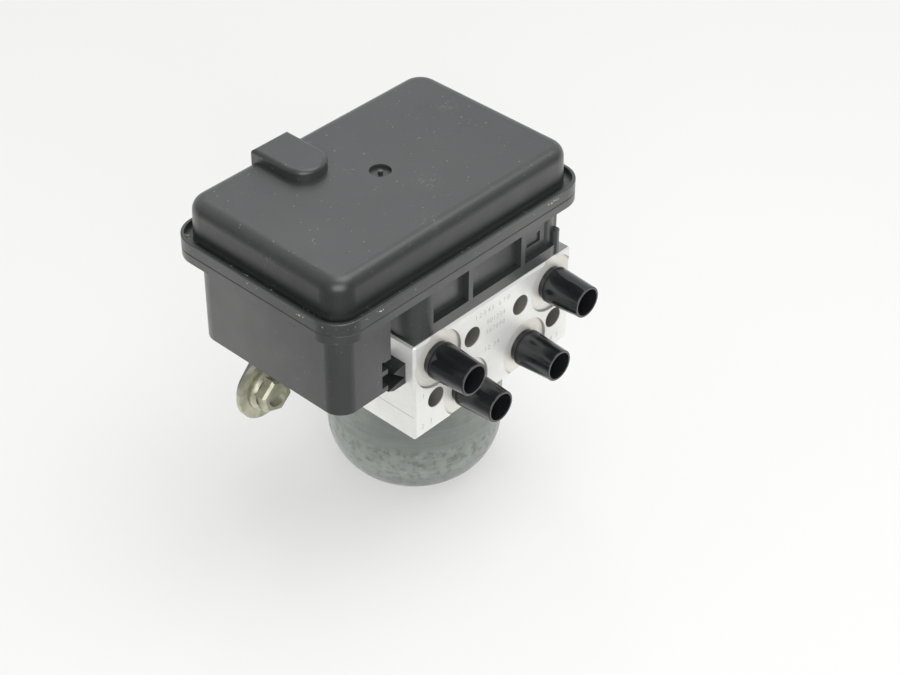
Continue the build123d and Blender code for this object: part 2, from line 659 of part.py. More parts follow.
# ------------------------------------------------------------------ control unit housing
COIL_TOP = COIL_Z0 + COIL_H
with BuildPart() as ecu_housing:
    with BuildSketch(Plane.XY.offset(FLANGE_Z0)):
        plate_sketch(RIM_X0, RIM_X1, RIM_Y0, RIM_Y1, RIM_CORNER)
    extrude(amount=HOUSING_FLANGE_T)
    chamfer(ecu_housing.faces().sort_by(Axis.Z)[0].edges(), HOUSING_CHAMFER)
    chamfer(ecu_housing.faces().sort_by(Axis.Z)[-1].edges(), SEAM_CHAMFER)
    with BuildSketch(Plane.XY.offset(BLOCK_Z1)):
        plate_sketch(BODY_X0, BODY_X1, BODY_Y0, BODY_Y1, BODY_CORNER)
    extrude(amount=FLANGE_Z0 - BLOCK_Z1)
    with BuildSketch(Plane.XY.offset(SKIRT_Z0)):
        skirt_sketch(0)
    extrude(amount=FLANGE_Z0 - SKIRT_Z0)
    # Panels sunk into the front of the body, parted by two ribs and open at the right-hand corner
    pocket_edges = [POCKET_X0] + [edge for x in RIB_X for edge in (x, x + RIB_W)] + [BODY_X1]
    for left, right in zip(pocket_edges[0::2], pocket_edges[1::2]):
        with BuildSketch(front_plane(left, BLOCK_Z1 + FOOT_H, BODY_Y0)):
            Rectangle(right - left, FLANGE_Z0 - BLOCK_Z1 - FOOT_H, align=(Align.MIN, Align.MIN))
        extrude(amount=-POCKET_DEPTH, mode=Mode.SUBTRACT)
    with BuildSketch(front_plane(RECESS_X0, BLOCK_Z1 + RECESS_RISE, BODY_Y0 + POCKET_DEPTH)):
        Rectangle(RECESS_W, RECESS_H, align=(Align.MIN, Align.MIN))
    extrude(amount=-RECESS_DEPTH, mode=Mode.SUBTRACT)
    # Clip post at the right front corner
    with BuildSketch(Plane.XY.offset(BLOCK_Z1)):
        with Locations((CLIP_X, BODY_Y0 + CLIP_R)):
            Circle(CLIP_R)
    extrude(amount=CLIP_H)
    # Coil chamber, open to the block
    with BuildSketch(Plane.XY.offset(BLOCK_Z1)):
        plate_sketch(
            BODY_X0 + BODY_WALL,
            BODY_X1 - BODY_WALL,
            BODY_Y0 + POCKET_DEPTH + PANEL_WALL,
            BODY_Y1 - BODY_WALL,
            BODY_CORNER - BODY_WALL,
        )
    extrude(amount=COIL_TOP - BLOCK_Z1, mode=Mode.SUBTRACT)
    # Posts for the screws that hold the housing down
    with BuildSketch(Plane.XY.offset(BLOCK_Z1)):
        with Locations(*ECU_SCREWS):
            Circle(ECU_POST_R)
    extrude(amount=FLANGE_Z0 - BLOCK_Z1)
    with BuildSketch(Plane.XY.offset(BLOCK_Z1)):
        with Locations(*ECU_SCREWS):
            Circle(ECU_SCREW_R + SCREW_CLEAR)
    extrude(amount=BODY_H, mode=Mode.SUBTRACT)
    with BuildSketch(Plane.XY.offset(SEAM_Z)):
        with Locations(*ECU_SCREWS):
            Circle(ECU_SCREW_HEAD_R + 2 * SCREW_CLEAR)
    extrude(amount=-HOUSING_FLANGE_T, mode=Mode.SUBTRACT)
    # Passage for the motor lead
    with BuildSketch(Plane.XY.offset(BLOCK_Z1)):
        with Locations((0, TERMINAL_Y)):
            Circle(TERMINAL_R + GAP)
    extrude(amount=BODY_H, mode=Mode.SUBTRACT)
    # Socket for the harness plug, open downward
    with BuildSketch(Plane.XY.offset(SKIRT_Z0)):
        skirt_sketch(SKIRT_WALL)
    extrude(amount=SKIRT_DROP - SOCKET_ROOF, mode=Mode.SUBTRACT)
    for rise, height in NOTCHES:
        with BuildSketch(Plane.XY.offset(SKIRT_Z0 + rise)):
            with Locations((SKIRT_X1, SKIRT_Y0)):
                Rectangle(NOTCH_W, NOTCH_D, align=(Align.MAX, Align.MIN))
        extrude(amount=height, mode=Mode.SUBTRACT)
    with BuildSketch(Plane.XY.offset(SKIRT_Z0 + CORNER_RIB_RISE)):
        with Locations((SKIRT_X1 - SKIRT_SQUARE, SKIRT_Y0 + CORNER_RIB_BACK)):
            Rectangle(CORNER_RIB_W + SKIRT_SQUARE, CORNER_RIB_D, align=(Align.MIN, Align.MIN))
    extrude(amount=FLANGE_Z0 - SKIRT_Z0 - CORNER_RIB_RISE)
save(ecu_housing.part, "ecu_housing")

with BuildPart() as ecu_screws:
    head_z = FLANGE_Z0
    with BuildSketch(Plane.XY.offset(head_z)):
        with Locations(*ECU_SCREWS):
            Circle(ECU_SCREW_HEAD_R)
    extrude(amount=ECU_SCREW_HEAD_H)
    with BuildSketch(Plane.XY.offset(BLOCK_Z1 - ECU_SCREW_DEPTH + HOLE_END_GAP / 2)):
        with Locations(*ECU_SCREWS):
            Circle(ECU_SCREW_R)
    extrude(amount=head_z - BLOCK_Z1 + ECU_SCREW_DEPTH - HOLE_END_GAP / 2)
    with BuildSketch(Plane.XY.offset(head_z + ECU_SCREW_HEAD_H)):
        with Locations(*ECU_SCREWS):
            RegularPolygon(ECU_SCREW_HEX_R, 6)
    extrude(amount=-ECU_SCREW_HEX_H, mode=Mode.SUBTRACT)
save(ecu_screws.part, "ecu_screws")

# ------------------------------------------------------------------ board and what it carries
BOARD_Z = SEAM_Z + BOARD_STANDOFF
with BuildPart() as circuit_board:
    with BuildSketch(Plane.XY.offset(BOARD_Z)):
        plate_sketch(
            RIM_X0 + BOARD_INSET,
            RIM_X1 - BOARD_INSET,
            RIM_Y0 + BOARD_INSET,
            RIM_Y1 - BOARD_INSET,
            BOARD_CORNER,
        )
    extrude(amount=BOARD_T)
    with BuildSketch(Plane.XY.offset(SEAM_Z)):
        foot_in = BOARD_INSET + BOARD_FOOT_INSET
        for x in (RIM_X0 + foot_in, RIM_X1 - foot_in):
            for y in (RIM_Y0 + foot_in, RIM_Y1 - foot_in):
                with Locations((x, y)):
                    Circle(BOARD_FOOT_R)
    extrude(amount=BOARD_STANDOFF)
save(circuit_board.part, "circuit_board")

CHIPS = [(x, y, *size) for (x, y), size in zip(CHIP_SPOTS, CHIP_SIZES)]
with BuildPart() as board_chips:
    for x, y, width, depth, height in CHIPS:
        with BuildSketch(Plane.XY.offset(BOARD_Z + BOARD_T)):
            with Locations((x, y)):
                Rectangle(width, depth)
        extrude(amount=height)
save(board_chips.part, "board_chips")

with BuildPart() as board_capacitors:
    with BuildSketch(Plane.XY.offset(BOARD_Z + BOARD_T)):
        with GridLocations(0, CAPACITOR_PITCH, 1, CAPACITOR_COUNT):
            with Locations((CAPACITOR_X, CAPACITOR_Y)):
                Circle(CAPACITOR_R)
    extrude(amount=CAPACITOR_H)
save(board_capacitors.part, "board_capacitors")

SOCKET_X = (SKIRT_X0 + SKIRT_X1) / 2
SOCKET_Y = (SKIRT_Y0 + SKIRT_Y1) / 2
with BuildPart() as connector_pins:
    with BuildSketch(Plane.XY.offset(SKIRT_Z0 + PIN_TIP)):
        with Locations((SOCKET_X, SOCKET_Y)):
            with GridLocations(PIN_PITCH, PIN_PITCH, PIN_ROWS, PIN_COUNT):
                Rectangle(PIN_W, PIN_W)
    extrude(amount=SKIRT_DROP - SOCKET_ROOF - PIN_TIP)
save(connector_pins.part, "connector_pins")

with BuildPart() as motor_lead:
    with BuildSketch(Plane.XY.offset(CARD_Z)):
        with Locations((0, TERMINAL_Y)):
            Circle(TERMINAL_R)
    extrude(amount=BOARD_Z - CARD_Z)
save(motor_lead.part, "motor_lead")

# ------------------------------------------------------------------ spacer beside the socket
# A moulded piece between the socket's wall and the block, cut into sloping teeth.
with BuildPart() as side_spacer:
    with BuildSketch(front_plane(BLOCK_X0, BLOCK_Z1 - SPACER_TOP, SPACER_Y0)):
        with BuildLine():
            teeth = [(-out, -down) for out, down in SPACER_TEETH]
            Polyline((0, 0), *teeth, (0, -SPACER_H), close=True)
        make_face()
    extrude(amount=-SPACER_L)
save(side_spacer.part, "side_spacer")

# ------------------------------------------------------------------ cover
# A moulded lid: flange with a raised lip, drafted wall, soft-edged plateau with a bump at its back.
PLATEAU = (
    RIM_X0 + COVER_INSET,
    RIM_X1 - COVER_INSET,
    RIM_Y0 + COVER_INSET,
    RIM_Y1 - COVER_INSET,
)
with BuildPart() as ecu_cover:
    with BuildSketch(Plane.XY.offset(SEAM_Z)):
        plate_sketch(RIM_X0, RIM_X1, RIM_Y0, RIM_Y1, RIM_CORNER)
    extrude(amount=COVER_FLANGE_T)
    chamfer(ecu_cover.faces().sort_by(Axis.Z)[0].edges(), SEAM_CHAMFER)
    fillet(ecu_cover.faces().sort_by(Axis.Z)[-1].edges(), COVER_LIP_EDGE)
    with BuildSketch(Plane.XY.offset(COVER_Z0)):
        plate_sketch(
            RIM_X0 + COVER_LIP_W,
            RIM_X1 - COVER_LIP_W,
            RIM_Y0 + COVER_LIP_W,
            RIM_Y1 - COVER_LIP_W,
            RIM_CORNER - COVER_LIP_W,
        )
    extrude(amount=-COVER_LIP_H, mode=Mode.SUBTRACT)
    with BuildSketch(Plane.XY.offset(COVER_Z0 - COVER_LIP_H)):
        plate_sketch(*PLATEAU, COVER_CORNER)
    extrude(amount=COVER_H + COVER_LIP_H, taper=COVER_DRAFT)
    fillet(ecu_cover.faces().sort_by(Axis.Z)[-1].edges(), COVER_EDGE)
    # Bump at the back edge, round towards the front
    bump_w = BUMP_X1 - BUMP_X0
    bump_x = (BUMP_X0 + BUMP_X1) / 2
    bump_back = PLATEAU[3] - (COVER_H + COVER_LIP_H) * math.tan(math.radians(COVER_DRAFT))
    with BuildSketch(Plane.XY.offset(COVER_TOP + BUMP_H)):
        with Locations((bump_x, bump_back)):
            Rectangle(bump_w, BUMP_L - bump_w / 2, align=(Align.CENTER, Align.MAX))
        with Locations((bump_x, bump_back - BUMP_L + bump_w / 2)):
            Circle(bump_w / 2)
    extrude(amount=-BUMP_H - COVER_EDGE)
    fillet(ecu_cover.faces().sort_by(Axis.Z)[-1].edges(), BUMP_EDGE)
    # Round dimple with a small nub
    with BuildSketch(Plane.XY.offset(COVER_TOP)):
        with Locations((DIMPLE_X, DIMPLE_Y)):
            Circle(DIMPLE_R)
            Circle(DIMPLE_NUB_R, mode=Mode.SUBTRACT)
    extrude(amount=-DIMPLE_DEPTH, mode=Mode.SUBTRACT)
    # Hollow inside
    with BuildSketch(Plane.XY.offset(SEAM_Z)):
        plate_sketch(
            PLATEAU[0] + COVER_WALL,
            PLATEAU[1] - COVER_WALL,
            PLATEAU[2] + COVER_WALL,
            PLATEAU[3] - COVER_WALL,
            COVER_CORNER - COVER_WALL,
        )
    extrude(
        amount=COVER_FLANGE_T + COVER_H - COVER_EDGE,
        taper=COVER_DRAFT,
        mode=Mode.SUBTRACT,
    )
save(ecu_cover.part, "ecu_cover")

# ------------------------------------------------------------------ port caps
for index, (x, z) in enumerate(PORTS, start=1):
    seat = BLOCK_FRONT + SPOT_DEPTH
    tip = BLOCK_FRONT - CAP_L
    with BuildPart() as port_cap:
        with BuildSketch(Plane.XY.move(Location((x, 0, z)))) as profile:
            with BuildLine():
                Polyline(
                    (0, seat + CAP_STEM_L),
                    (PORT_R, seat + CAP_STEM_L),
                    (PORT_R, seat),
                    (CAP_NECK_R, seat),
                    (CAP_NECK_R, seat - CAP_NECK_L),
                    (CAP_BASE_R, seat - CAP_NECK_L),
                    (CAP_TIP_R, tip),
                    (CAP_TIP_R - CAP_WALL, tip),
                    (CAP_TIP_R - CAP_WALL, tip + CAP_HOLLOW),
                    (0, tip + CAP_HOLLOW),
                    close=True,
                )
            make_face()
            fillet(profile.vertices().sort_by(Axis.X)[-1], CAP_FOOT_EDGE)
            fillet(profile.vertices().group_by(Axis.Y)[0].sort_by(Axis.X)[-1], CAP_TIP_EDGE)
        revolve(axis=Axis((x, 0, z), (0, 1, 0)))
    save(port_cap.part, f"port_cap_{index}")

# ------------------------------------------------------------------ bracket, washer and bolt
# A flat arm screwed to the block's back; its ear hangs out past the motor with the bolt.
FOOT_SCREWS = [(x, FOOT_Z) for x in FOOT_SCREW_X]
with BuildPart() as mounting_bracket:
    with BuildSketch(back_plane(0, 0)):
        with Locations((-EAR_X, EAR_Z)):
            Circle(EAR_END_R)
        with Locations(*[(-x, z) for x, z in FOOT_SCREWS]):
            Circle(FOOT_R)
        make_hull()
        with Locations((-EAR_X, EAR_Z)):
            Circle(BOLT_R + BOLT_CLEAR, mode=Mode.SUBTRACT)
        with Locations(*[(-x, z) for x, z in FOOT_SCREWS]):
            Circle(FOOT_SCREW_R + BOLT_CLEAR, mode=Mode.SUBTRACT)
    extrude(amount=BRACKET_T)
save(mounting_bracket.part, "mounting_bracket")

with BuildPart() as bracket_screws:
    for x, z in FOOT_SCREWS:
        with BuildSketch(back_plane(x, z, BLOCK_BACK + BRACKET_T)):
            Circle(FOOT_SCREW_HEAD_R)
        extrude(amount=FOOT_SCREW_HEAD_H)
        with BuildSketch(back_plane(x, z, BLOCK_BACK + BRACKET_T + FOOT_SCREW_HEAD_H)):
            RegularPolygon(FOOT_SCREW_HEX_R, 6)
        extrude(amount=-FOOT_SCREW_HEX_H, mode=Mode.SUBTRACT)
        with BuildSketch(back_plane(x, z, BLOCK_BACK + BRACKET_T)):
            Circle(FOOT_SCREW_R)
        extrude(amount=-BRACKET_T - FOOT_SCREW_DEPTH)
save(bracket_screws.part, "bracket_screws")

with BuildPart() as mounting_washer:
    with BuildSketch(front_plane(EAR_X, EAR_Z, BLOCK_BACK)):
        Circle(WASHER_R)
        Circle(BOLT_R + BOLT_CLEAR, mode=Mode.SUBTRACT)
    extrude(amount=WASHER_T)
save(mounting_washer.part, "mounting_washer")

with BuildPart() as mounting_bolt:
    head_y = BLOCK_BACK - WASHER_T
    with BuildSketch(front_plane(EAR_X, EAR_Z, head_y)):
        Circle(BOLT_FLANGE_R)
    extrude(amount=BOLT_FLANGE_T)
    with BuildSketch(front_plane(EAR_X, EAR_Z, head_y)):
        RegularPolygon(BOLT_AF / 2, 6, major_radius=False)
    extrude(amount=BOLT_HEAD_H)
    with BuildSketch(front_plane(EAR_X, EAR_Z, head_y - BOLT_HEAD_H)):
        Circle(BOLT_DISH_R)
    extrude(amount=-BOLT_DISH_H, mode=Mode.SUBTRACT)
    with BuildSketch(front_plane(EAR_X, EAR_Z, head_y)):
        Circle(BOLT_R)
    extrude(amount=-(WASHER_T + BRACKET_T + BOLT_TAIL))
save(mounting_bolt.part, "mounting_bolt")
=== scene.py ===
"""Looks for an anti-lock brake module: finishes, small hardware, studio light and camera.

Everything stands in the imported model's frame, in metres. The sizes in the classes are millimetres.
"""

import logging
import math
from dataclasses import dataclass
from enum import Enum

import bmesh
import bpy
from mathutils import Matrix, Vector


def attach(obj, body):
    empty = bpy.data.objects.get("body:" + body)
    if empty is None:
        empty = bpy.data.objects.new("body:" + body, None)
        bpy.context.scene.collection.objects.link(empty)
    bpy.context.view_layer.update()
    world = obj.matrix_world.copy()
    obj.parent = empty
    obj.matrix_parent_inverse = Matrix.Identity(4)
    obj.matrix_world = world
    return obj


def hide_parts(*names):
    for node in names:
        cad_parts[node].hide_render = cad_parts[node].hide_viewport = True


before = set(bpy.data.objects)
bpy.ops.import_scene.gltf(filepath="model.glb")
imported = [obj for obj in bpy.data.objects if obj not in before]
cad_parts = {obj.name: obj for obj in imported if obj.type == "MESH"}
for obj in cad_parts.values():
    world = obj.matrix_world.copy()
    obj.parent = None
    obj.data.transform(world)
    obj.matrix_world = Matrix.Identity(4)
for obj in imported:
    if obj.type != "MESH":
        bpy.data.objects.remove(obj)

MM = 0.001
FIXED_BODY = "module"
WELD_MM = 0.002               # vertices closer than this become one
SMOOTH_BELOW_DEG = 35.0       # edges under this angle are shaded smooth
LOG = logging.getLogger("brake_module")

Colour = tuple[float, float, float, float]
Point = tuple[float, float, float]
Pair = tuple[float, float]
Socket = bpy.types.NodeSocket
Paint = str | Socket          # a colour as "#rrggbb", or a socket that gives one


class Lay(Enum):
    """The way fine lines run: how much finer the pattern is along X, Y and Z."""

    EVEN = (1.0, 1.0, 1.0)
    ALONG_X = (1.0, 16.0, 16.0)
    ALONG_Y = (16.0, 1.0, 16.0)
    ALONG_Z = (16.0, 16.0, 1.0)
    ROUND_Z = (1.0, 1.0, 16.0)


class Reach(Enum):
    """What a distance is measured from, by how much X, Y and Z count in it."""

    POINT = (1.0, 1.0, 1.0)
    AXIS_Y = (1.0, 0.0, 1.0)
    LEVEL_Z = (0.0, 0.0, 1.0)
    NARROW_Y = (1.0, 1.7, 1.0)


@dataclass(frozen=True)
class Band:
    """A stretch along an axis: where it fades in, and where it fades out again."""

    fade_in: Pair
    fade_out: Pair


def linear(code: str) -> Colour:
    """Turn an sRGB hex colour into the linear one that a shader takes.

    Args:
        code: The colour as "#rrggbb".

    Returns:
        Linear red, green and blue, and an alpha of 1.
    """
    parts = [int(code[i : i + 2], 16) / 255 for i in (1, 3, 5)]
    red, green, blue = [c / 12.92 if c <= 0.04045 else ((c + 0.055) / 1.055) ** 2.4 for c in parts]
    return red, green, blue, 1.0


class Graph:
    """A node tree that a single helper fills."""

    def __init__(self, tree: bpy.types.NodeTree) -> None:
        """Empty the tree.

        Args:
            tree: The tree to fill.
        """
        self.tree = tree
        self.tree.nodes.clear()

    def add(self, kind: str, settings: dict | None = None, inputs: dict | None = None) -> bpy.types.Node:
        """Add one node with its settings, and feed its inputs.

        Args:
            kind: The node's type name.
            settings: Attributes to set on the node.
            inputs: Values or output sockets, by input name or number.

        Returns:
            The new node.
        """
        made = self.tree.nodes.new(kind)
        for key, value in (settings or {}).items():
            setattr(made, key, value)
        for key, value in (inputs or {}).items():
            if isinstance(value, Socket):
                self.tree.links.new(value, made.inputs[key])
            else:
                made.inputs[key].default_value = value
        return made


class Surface(Graph):
    """One material: a Principled shader that reads Object coordinates."""

    def __init__(self, name: str) -> None:
        """Start the material.

        Args:
            name: The material's name.
        """
        self.material = bpy.data.materials.new(name)
        self.material.use_nodes = True
        super().__init__(self.material.node_tree)
        self.shader = self.add("ShaderNodeBsdfPrincipled")
        self.output = self.add("ShaderNodeOutputMaterial", inputs={"Surface": self.shader.outputs[0]})
        self.place = self.add("ShaderNodeTexCoord").outputs["Object"]
        self.axes = self.add("ShaderNodeSeparateXYZ", inputs={"Vector": self.place}).outputs

    def feed(self, **values: object) -> None:
        """Give the shader constants, or patterns to read.

        Args:
            values: Values or sockets by the shader's input names, with _ for a space.
        """
        for key, value in values.items():
            target = self.shader.inputs[key.replace("_", " ")]
            if isinstance(value, Socket):
                self.tree.links.new(value, target)
            else:
                target.default_value = value

    def vary(self, name: str, pattern: Socket, value: float, below: float = 0.0, above: float = 0.0) -> None:
        """Let a pattern move one of the shader's values.

        Args:
            name: The shader's input.
            pattern: A level from 0 to 1.
            value: What the input has in the main.
            below: How far under it the input is where the pattern is 0.
            above: How far over it the input is where the pattern is 1.
        """
        ends = {"To Min": value - below, "To Max": value + above}
        moved = self.add("ShaderNodeMapRange", inputs={"Value": pattern, **ends})
        self.feed(**{name: moved.outputs[0]})

    def clouds(
        self,
        size_mm: float,
        low: float,
        high: float,
        lay: Lay = Lay.EVEN,
        detail: float = 3.0,
        shift: float = 0.0,
    ) -> Socket:
        """Draw soft patches of one real size, cut between two levels to 0 and 1.

        Args:
            size_mm: The patches' size.
            low: Noise level that becomes 0.
            high: Noise level that becomes 1.
            lay: Which way the patches are drawn out.
            detail: How broken their edges are.
            shift: Moves the pattern, so that two of one size differ.

        Returns:
            A level from 0 to 1.
        """
        turned = self.add(
            "ShaderNodeMapping",
            inputs={"Vector": self.place, "Location": (shift, shift, shift), "Scale": lay.value},
        )
        noise = self.add(
            "ShaderNodeTexNoise",
            inputs={"Vector": turned.outputs[0], "Scale": 1 / (size_mm * MM), "Detail": detail},
        )
        cut = self.add(
            "ShaderNodeMapRange",
            inputs={"Value": noise.outputs[0], "From Min": low, "From Max": high},
        )
        return cut.outputs[0]

    def product(self, *levels: Socket | float) -> Socket:
        """Multiply levels, so that the result is high only where all of them are."""
        result = levels[0]
        for level in levels[1:]:
            result = self.add("ShaderNodeMath", {"operation": "MULTIPLY"}, {0: result, 1: level}).outputs[0]
        return result

    def cover(self, base: Paint, top: Paint, *masks: Socket, amount: float = 1.0) -> Socket:
        """Lay one colour over another where all the masks are high.

        Args:
            base: The colour below.
            top: The colour above.
            masks: Levels from 0 for the base to 1 for the top.
            amount: How much of the base the top hides where they are all 1.

        Returns:
            The resulting colour.
        """
        share = self.product(*masks, amount)
        below, above = [linear(paint) if isinstance(paint, str) else paint for paint in (base, top)]
        return self.add("ShaderNodeMix", {"data_type": "RGBA"}, {0: share, 6: below, 7: above}).outputs[2]

    def ramp(
        self, value: Socket, start_mm: float, end_mm: float, first: float = 0.0, last: float = 1.0
    ) -> Socket:
        """Pass softly from one level to another between two distances.

        Args:
            value: A distance or a coordinate, in metres.
            start_mm: Where the first level ends.
            end_mm: Where the last level begins.
            first: The level at the start.
            last: The level at the end.

        Returns:
            The level.
        """
        reads = {"Value": value, "From Min": start_mm * MM, "From Max": end_mm * MM}
        gives = {"To Min": first, "To Max": last}
        soft = {"interpolation_type": "SMOOTHSTEP"}
        return self.add("ShaderNodeMapRange", soft, {**reads, **gives}).outputs[0]

    def within(self, axis: str, band: Band) -> Socket:
        """Mask a stretch along an axis.

        Args:
            axis: "X", "Y" or "Z".
            band: The stretch, in millimetres.

        Returns:
            A level from 0 outside the stretch to 1 inside it.
        """
        place = self.axes[axis]
        return self.product(self.ramp(place, *band.fade_in), self.ramp(place, *reversed(band.fade_out)))

    def distance(self, point: Point, reach: Reach = Reach.POINT) -> Socket:
        """Measure how far the surface is from a point, a line or a level.

        Args:
            point: The point, or one on the line or level, in millimetres.
            reach: Which of these it is.

        Returns:
            The distance, in metres.
        """
        offset = self.add(
            "ShaderNodeVectorMath",
            {"operation": "SUBTRACT"},
            {0: self.place, 1: tuple(c * MM for c in point)},
        )
        counted = {0: offset.outputs[0], 1: reach.value}
        flat = self.add("ShaderNodeVectorMath", {"operation": "MULTIPLY"}, counted)
        length = self.add("ShaderNodeVectorMath", {"operation": "LENGTH"}, {0: flat.outputs[0]})
        return length.outputs["Value"]

    def waves(self, distance: Socket, pitch_mm: float) -> Socket:
        """Draw even waves between -1 and 1 along a distance in metres, one to a pitch."""
        turn = self.product(distance, math.tau / (pitch_mm * MM))
        return self.add("ShaderNodeMath", {"operation": "SINE"}, {0: turn}).outputs[0]

    def relief(self, height: Socket, depth_mm: float, strength: float) -> None:
        """Raise the surface where a level is high, over any relief that it has.

        Args:
            height: The level.
            depth_mm: The height where the level is 1.
            strength: How much of it shows.
        """
        below = self.shader.inputs["Normal"].links
        under = {"Normal": below[0].from_socket} if below else {}
        bump = self.add(
            "ShaderNodeBump",
            inputs={"Height": height, "Distance": depth_mm * MM, "Strength": strength, **under},
        )
        self.feed(Normal=bump.outputs[0])


@dataclass(frozen=True)
class Scuff:
    """A faint patch of fine scratches: its middle, how far it reaches, and how its lines run."""

    middle: Point
    reach: float
    lay: Lay


@dataclass(frozen=True)
class MouldedNylon:
    """Glass-filled nylon from a spark-eroded mould: dark and satin, with a fine even grain.

    The grain is 0.35 mm on the real moulding and is drawn at 0.7 mm so that it shows. Pale dust lies
    on it in specks, and as crumbs in a trough. The trough is painted darker, as painted shade in it,
    and a steep wall is painted darker, as painted shade.
    """

    name: str
    body: str
    pale: str
    roughness: float = 0.42
    specular: float = 0.75
    ior: float = 1.53
    grain_mm: float = 0.7
    grain_depth_mm: float = 0.03
    dust: float = 0.3
    dust_colour: str = "#a8aaa6"
    scuffs: tuple[Scuff, ...] = ()
    scuff_core: float = 0.3
    scuff_colour: str = "#9c9c96"
    trough: Band | None = None
    trough_shade_colour: str = "#2b2d2c"
    crumb_colour: str = "#b9b7ae"
    shaded_wall: Band | None = None
    wall_shade_colour: str = "#1d1f1e"
    marks: tuple[Point, ...] = ()
    mark_edge: Pair = (0.9, 0.6)
    mark_colour: str = "#191a19"

    def build(self) -> bpy.types.Material:
        """Make the material."""
        s = Surface(self.name)
        cloudy = s.clouds(size_mm=30.0, low=0.36, high=0.68, detail=2.0)
        colour = s.cover(self.body, self.pale, cloudy, amount=0.2)
        speckle = s.clouds(self.grain_mm, low=0.45, high=0.75, detail=2.0)
        colour = s.cover(colour, self.pale, speckle, amount=0.16)
        specks = s.clouds(size_mm=1.3, low=0.735, high=0.775, detail=1.0, shift=0.3)
        colour = s.cover(colour, self.dust_colour, specks, amount=self.dust)
        # A steep wall is painted darker here: painted shade.
        if self.shaded_wall:
            colour = s.cover(colour, self.wall_shade_colour, s.within("Z", self.shaded_wall), amount=0.7)
        for scuff in self.scuffs:
            hair = s.clouds(size_mm=3.0, low=0.58, high=0.68, lay=scuff.lay, shift=0.7)
            near = s.ramp(s.distance(scuff.middle), scuff.reach, scuff.reach * self.scuff_core)
            colour = s.cover(colour, self.scuff_colour, hair, near, amount=0.5)
        # The trough is painted darker here, as painted shade in it; the crumbs in it are dust.
        if self.trough:
            inside = s.within("Z", self.trough)
            colour = s.cover(colour, self.trough_shade_colour, inside, amount=0.35)
            crumbs = s.clouds(size_mm=1.5, low=0.66, high=0.70, detail=2.0, shift=0.9)
            colour = s.cover(colour, self.crumb_colour, inside, crumbs)
        for mark in self.marks:
            near = s.ramp(s.distance(mark, Reach.NARROW_Y), *self.mark_edge)
            colour = s.cover(colour, self.mark_colour, near, amount=0.8)
        s.feed(Base_Color=colour, Specular_IOR_Level=self.specular, IOR=self.ior)
        handled = s.clouds(size_mm=9.0, low=0.3, high=0.7)
        s.vary("Roughness", handled, self.roughness, below=0.03, above=0.04)
        s.relief(speckle, self.grain_depth_mm, strength=0.5)
        return s.material


@dataclass(frozen=True)
class MilledAluminium:
    """Aluminium bar, milled to a soft bright satin: fine straight lines, turned rings at the ports.

    The cutter lines are 0.1 mm apart and are drawn at 0.5 mm so that they show. The tumbled surface
    scatters light, so it is less of a mirror than a bare metal. The spot faces and bores are tinted
    only as deep as they go, and a pair says where a tint starts and where it is full. The bores and
    the ring at each spot face's step are painted darker, as painted shade, and the top face is painted
    darker, as the painted reflection and shade of the dark housing over it.
    """

    name: str
    body: str
    dull: str
    spots: tuple[Pair, ...] = ()
    spot_edge: Pair = (11.5, 11.3)
    spot_depth: Band = Band((-39.25, -39.0), (-38.1, -37.8))
    spot_colour: str = "#d8d1c2"
    rim_edge: Pair = (10.7, 11.3)
    rim_shading_colour: str = "#8b867c"
    ring_pitch: float = 1.3
    bores: tuple[Pair, ...] = ()
    bore_edge: Pair = (4.4, 4.1)
    bore_depth: Band = Band((-39.25, -39.0), (-27.1, -26.8))
    bore_shade_colour: str = "#6c665b"
    scribe_z: float = 64.0
    scribe_edge: Pair = (0.3, 0.1)
    side_edge: Pair = (-40.4, -40.6)
    scribe_colour: str = "#8f8f8a"
    top_edge: Pair = (94.75, 94.95)
    top_shade_colour: str = "#7d807e"
    roughness: float = 0.42
    metallic: float = 0.42

    def build(self) -> bpy.types.Material:
        """Make the material."""
        s = Surface(self.name)
        lines = s.clouds(size_mm=9.0, low=0.3, high=0.7, lay=Lay.ALONG_X, detail=4.0)
        stain = s.clouds(size_mm=16.0, low=0.45, high=0.75, detail=5.0)
        colour = s.cover(self.body, self.dull, lines, amount=0.25)
        colour = s.cover(colour, self.dull, stain, amount=0.2)
        shallow = s.within("Y", self.spot_depth)
        for x, z in self.spots:
            radius = s.distance((x, 0.0, z), Reach.AXIS_Y)
            face = s.product(s.ramp(radius, *self.spot_edge), shallow)
            colour = s.cover(colour, self.spot_colour, face, amount=0.4)
            # The ring at each spot face's step is painted darker: painted shade at its wall.
            colour = s.cover(colour, self.rim_shading_colour, face, s.ramp(radius, *self.rim_edge), amount=0.6)
            s.relief(s.product(s.waves(radius, self.ring_pitch), face), depth_mm=0.03, strength=0.5)
        # The bores are painted darker and browner, as painted shade inside them.
        deep = s.within("Y", self.bore_depth)
        for x, z in self.bores:
            wall = s.ramp(s.distance((x, 0.0, z), Reach.AXIS_Y), *self.bore_edge)
            colour = s.cover(colour, self.bore_shade_colour, wall, deep, amount=0.8)
        scribed = s.ramp(s.distance((0.0, 0.0, self.scribe_z), Reach.LEVEL_Z), *self.scribe_edge)
        side = s.ramp(s.axes["X"], *self.side_edge)
        colour = s.cover(colour, self.scribe_colour, scribed, side, amount=0.55)
        # The top face is painted darker, as the painted reflection and shade of the dark housing over it; it
        # is also made more metallic.
        upper = s.ramp(s.axes["Z"], *self.top_edge)
        s.feed(Base_Color=s.cover(colour, self.top_shade_colour, upper, amount=0.85))
        s.vary("Metallic", upper, self.metallic, above=0.48)
        handled = s.clouds(size_mm=4.0, low=0.3, high=0.7)
        s.vary("Roughness", handled, self.roughness, below=0.05, above=0.08)
        s.relief(lines, depth_mm=0.02, strength=0.3)
        return s.material


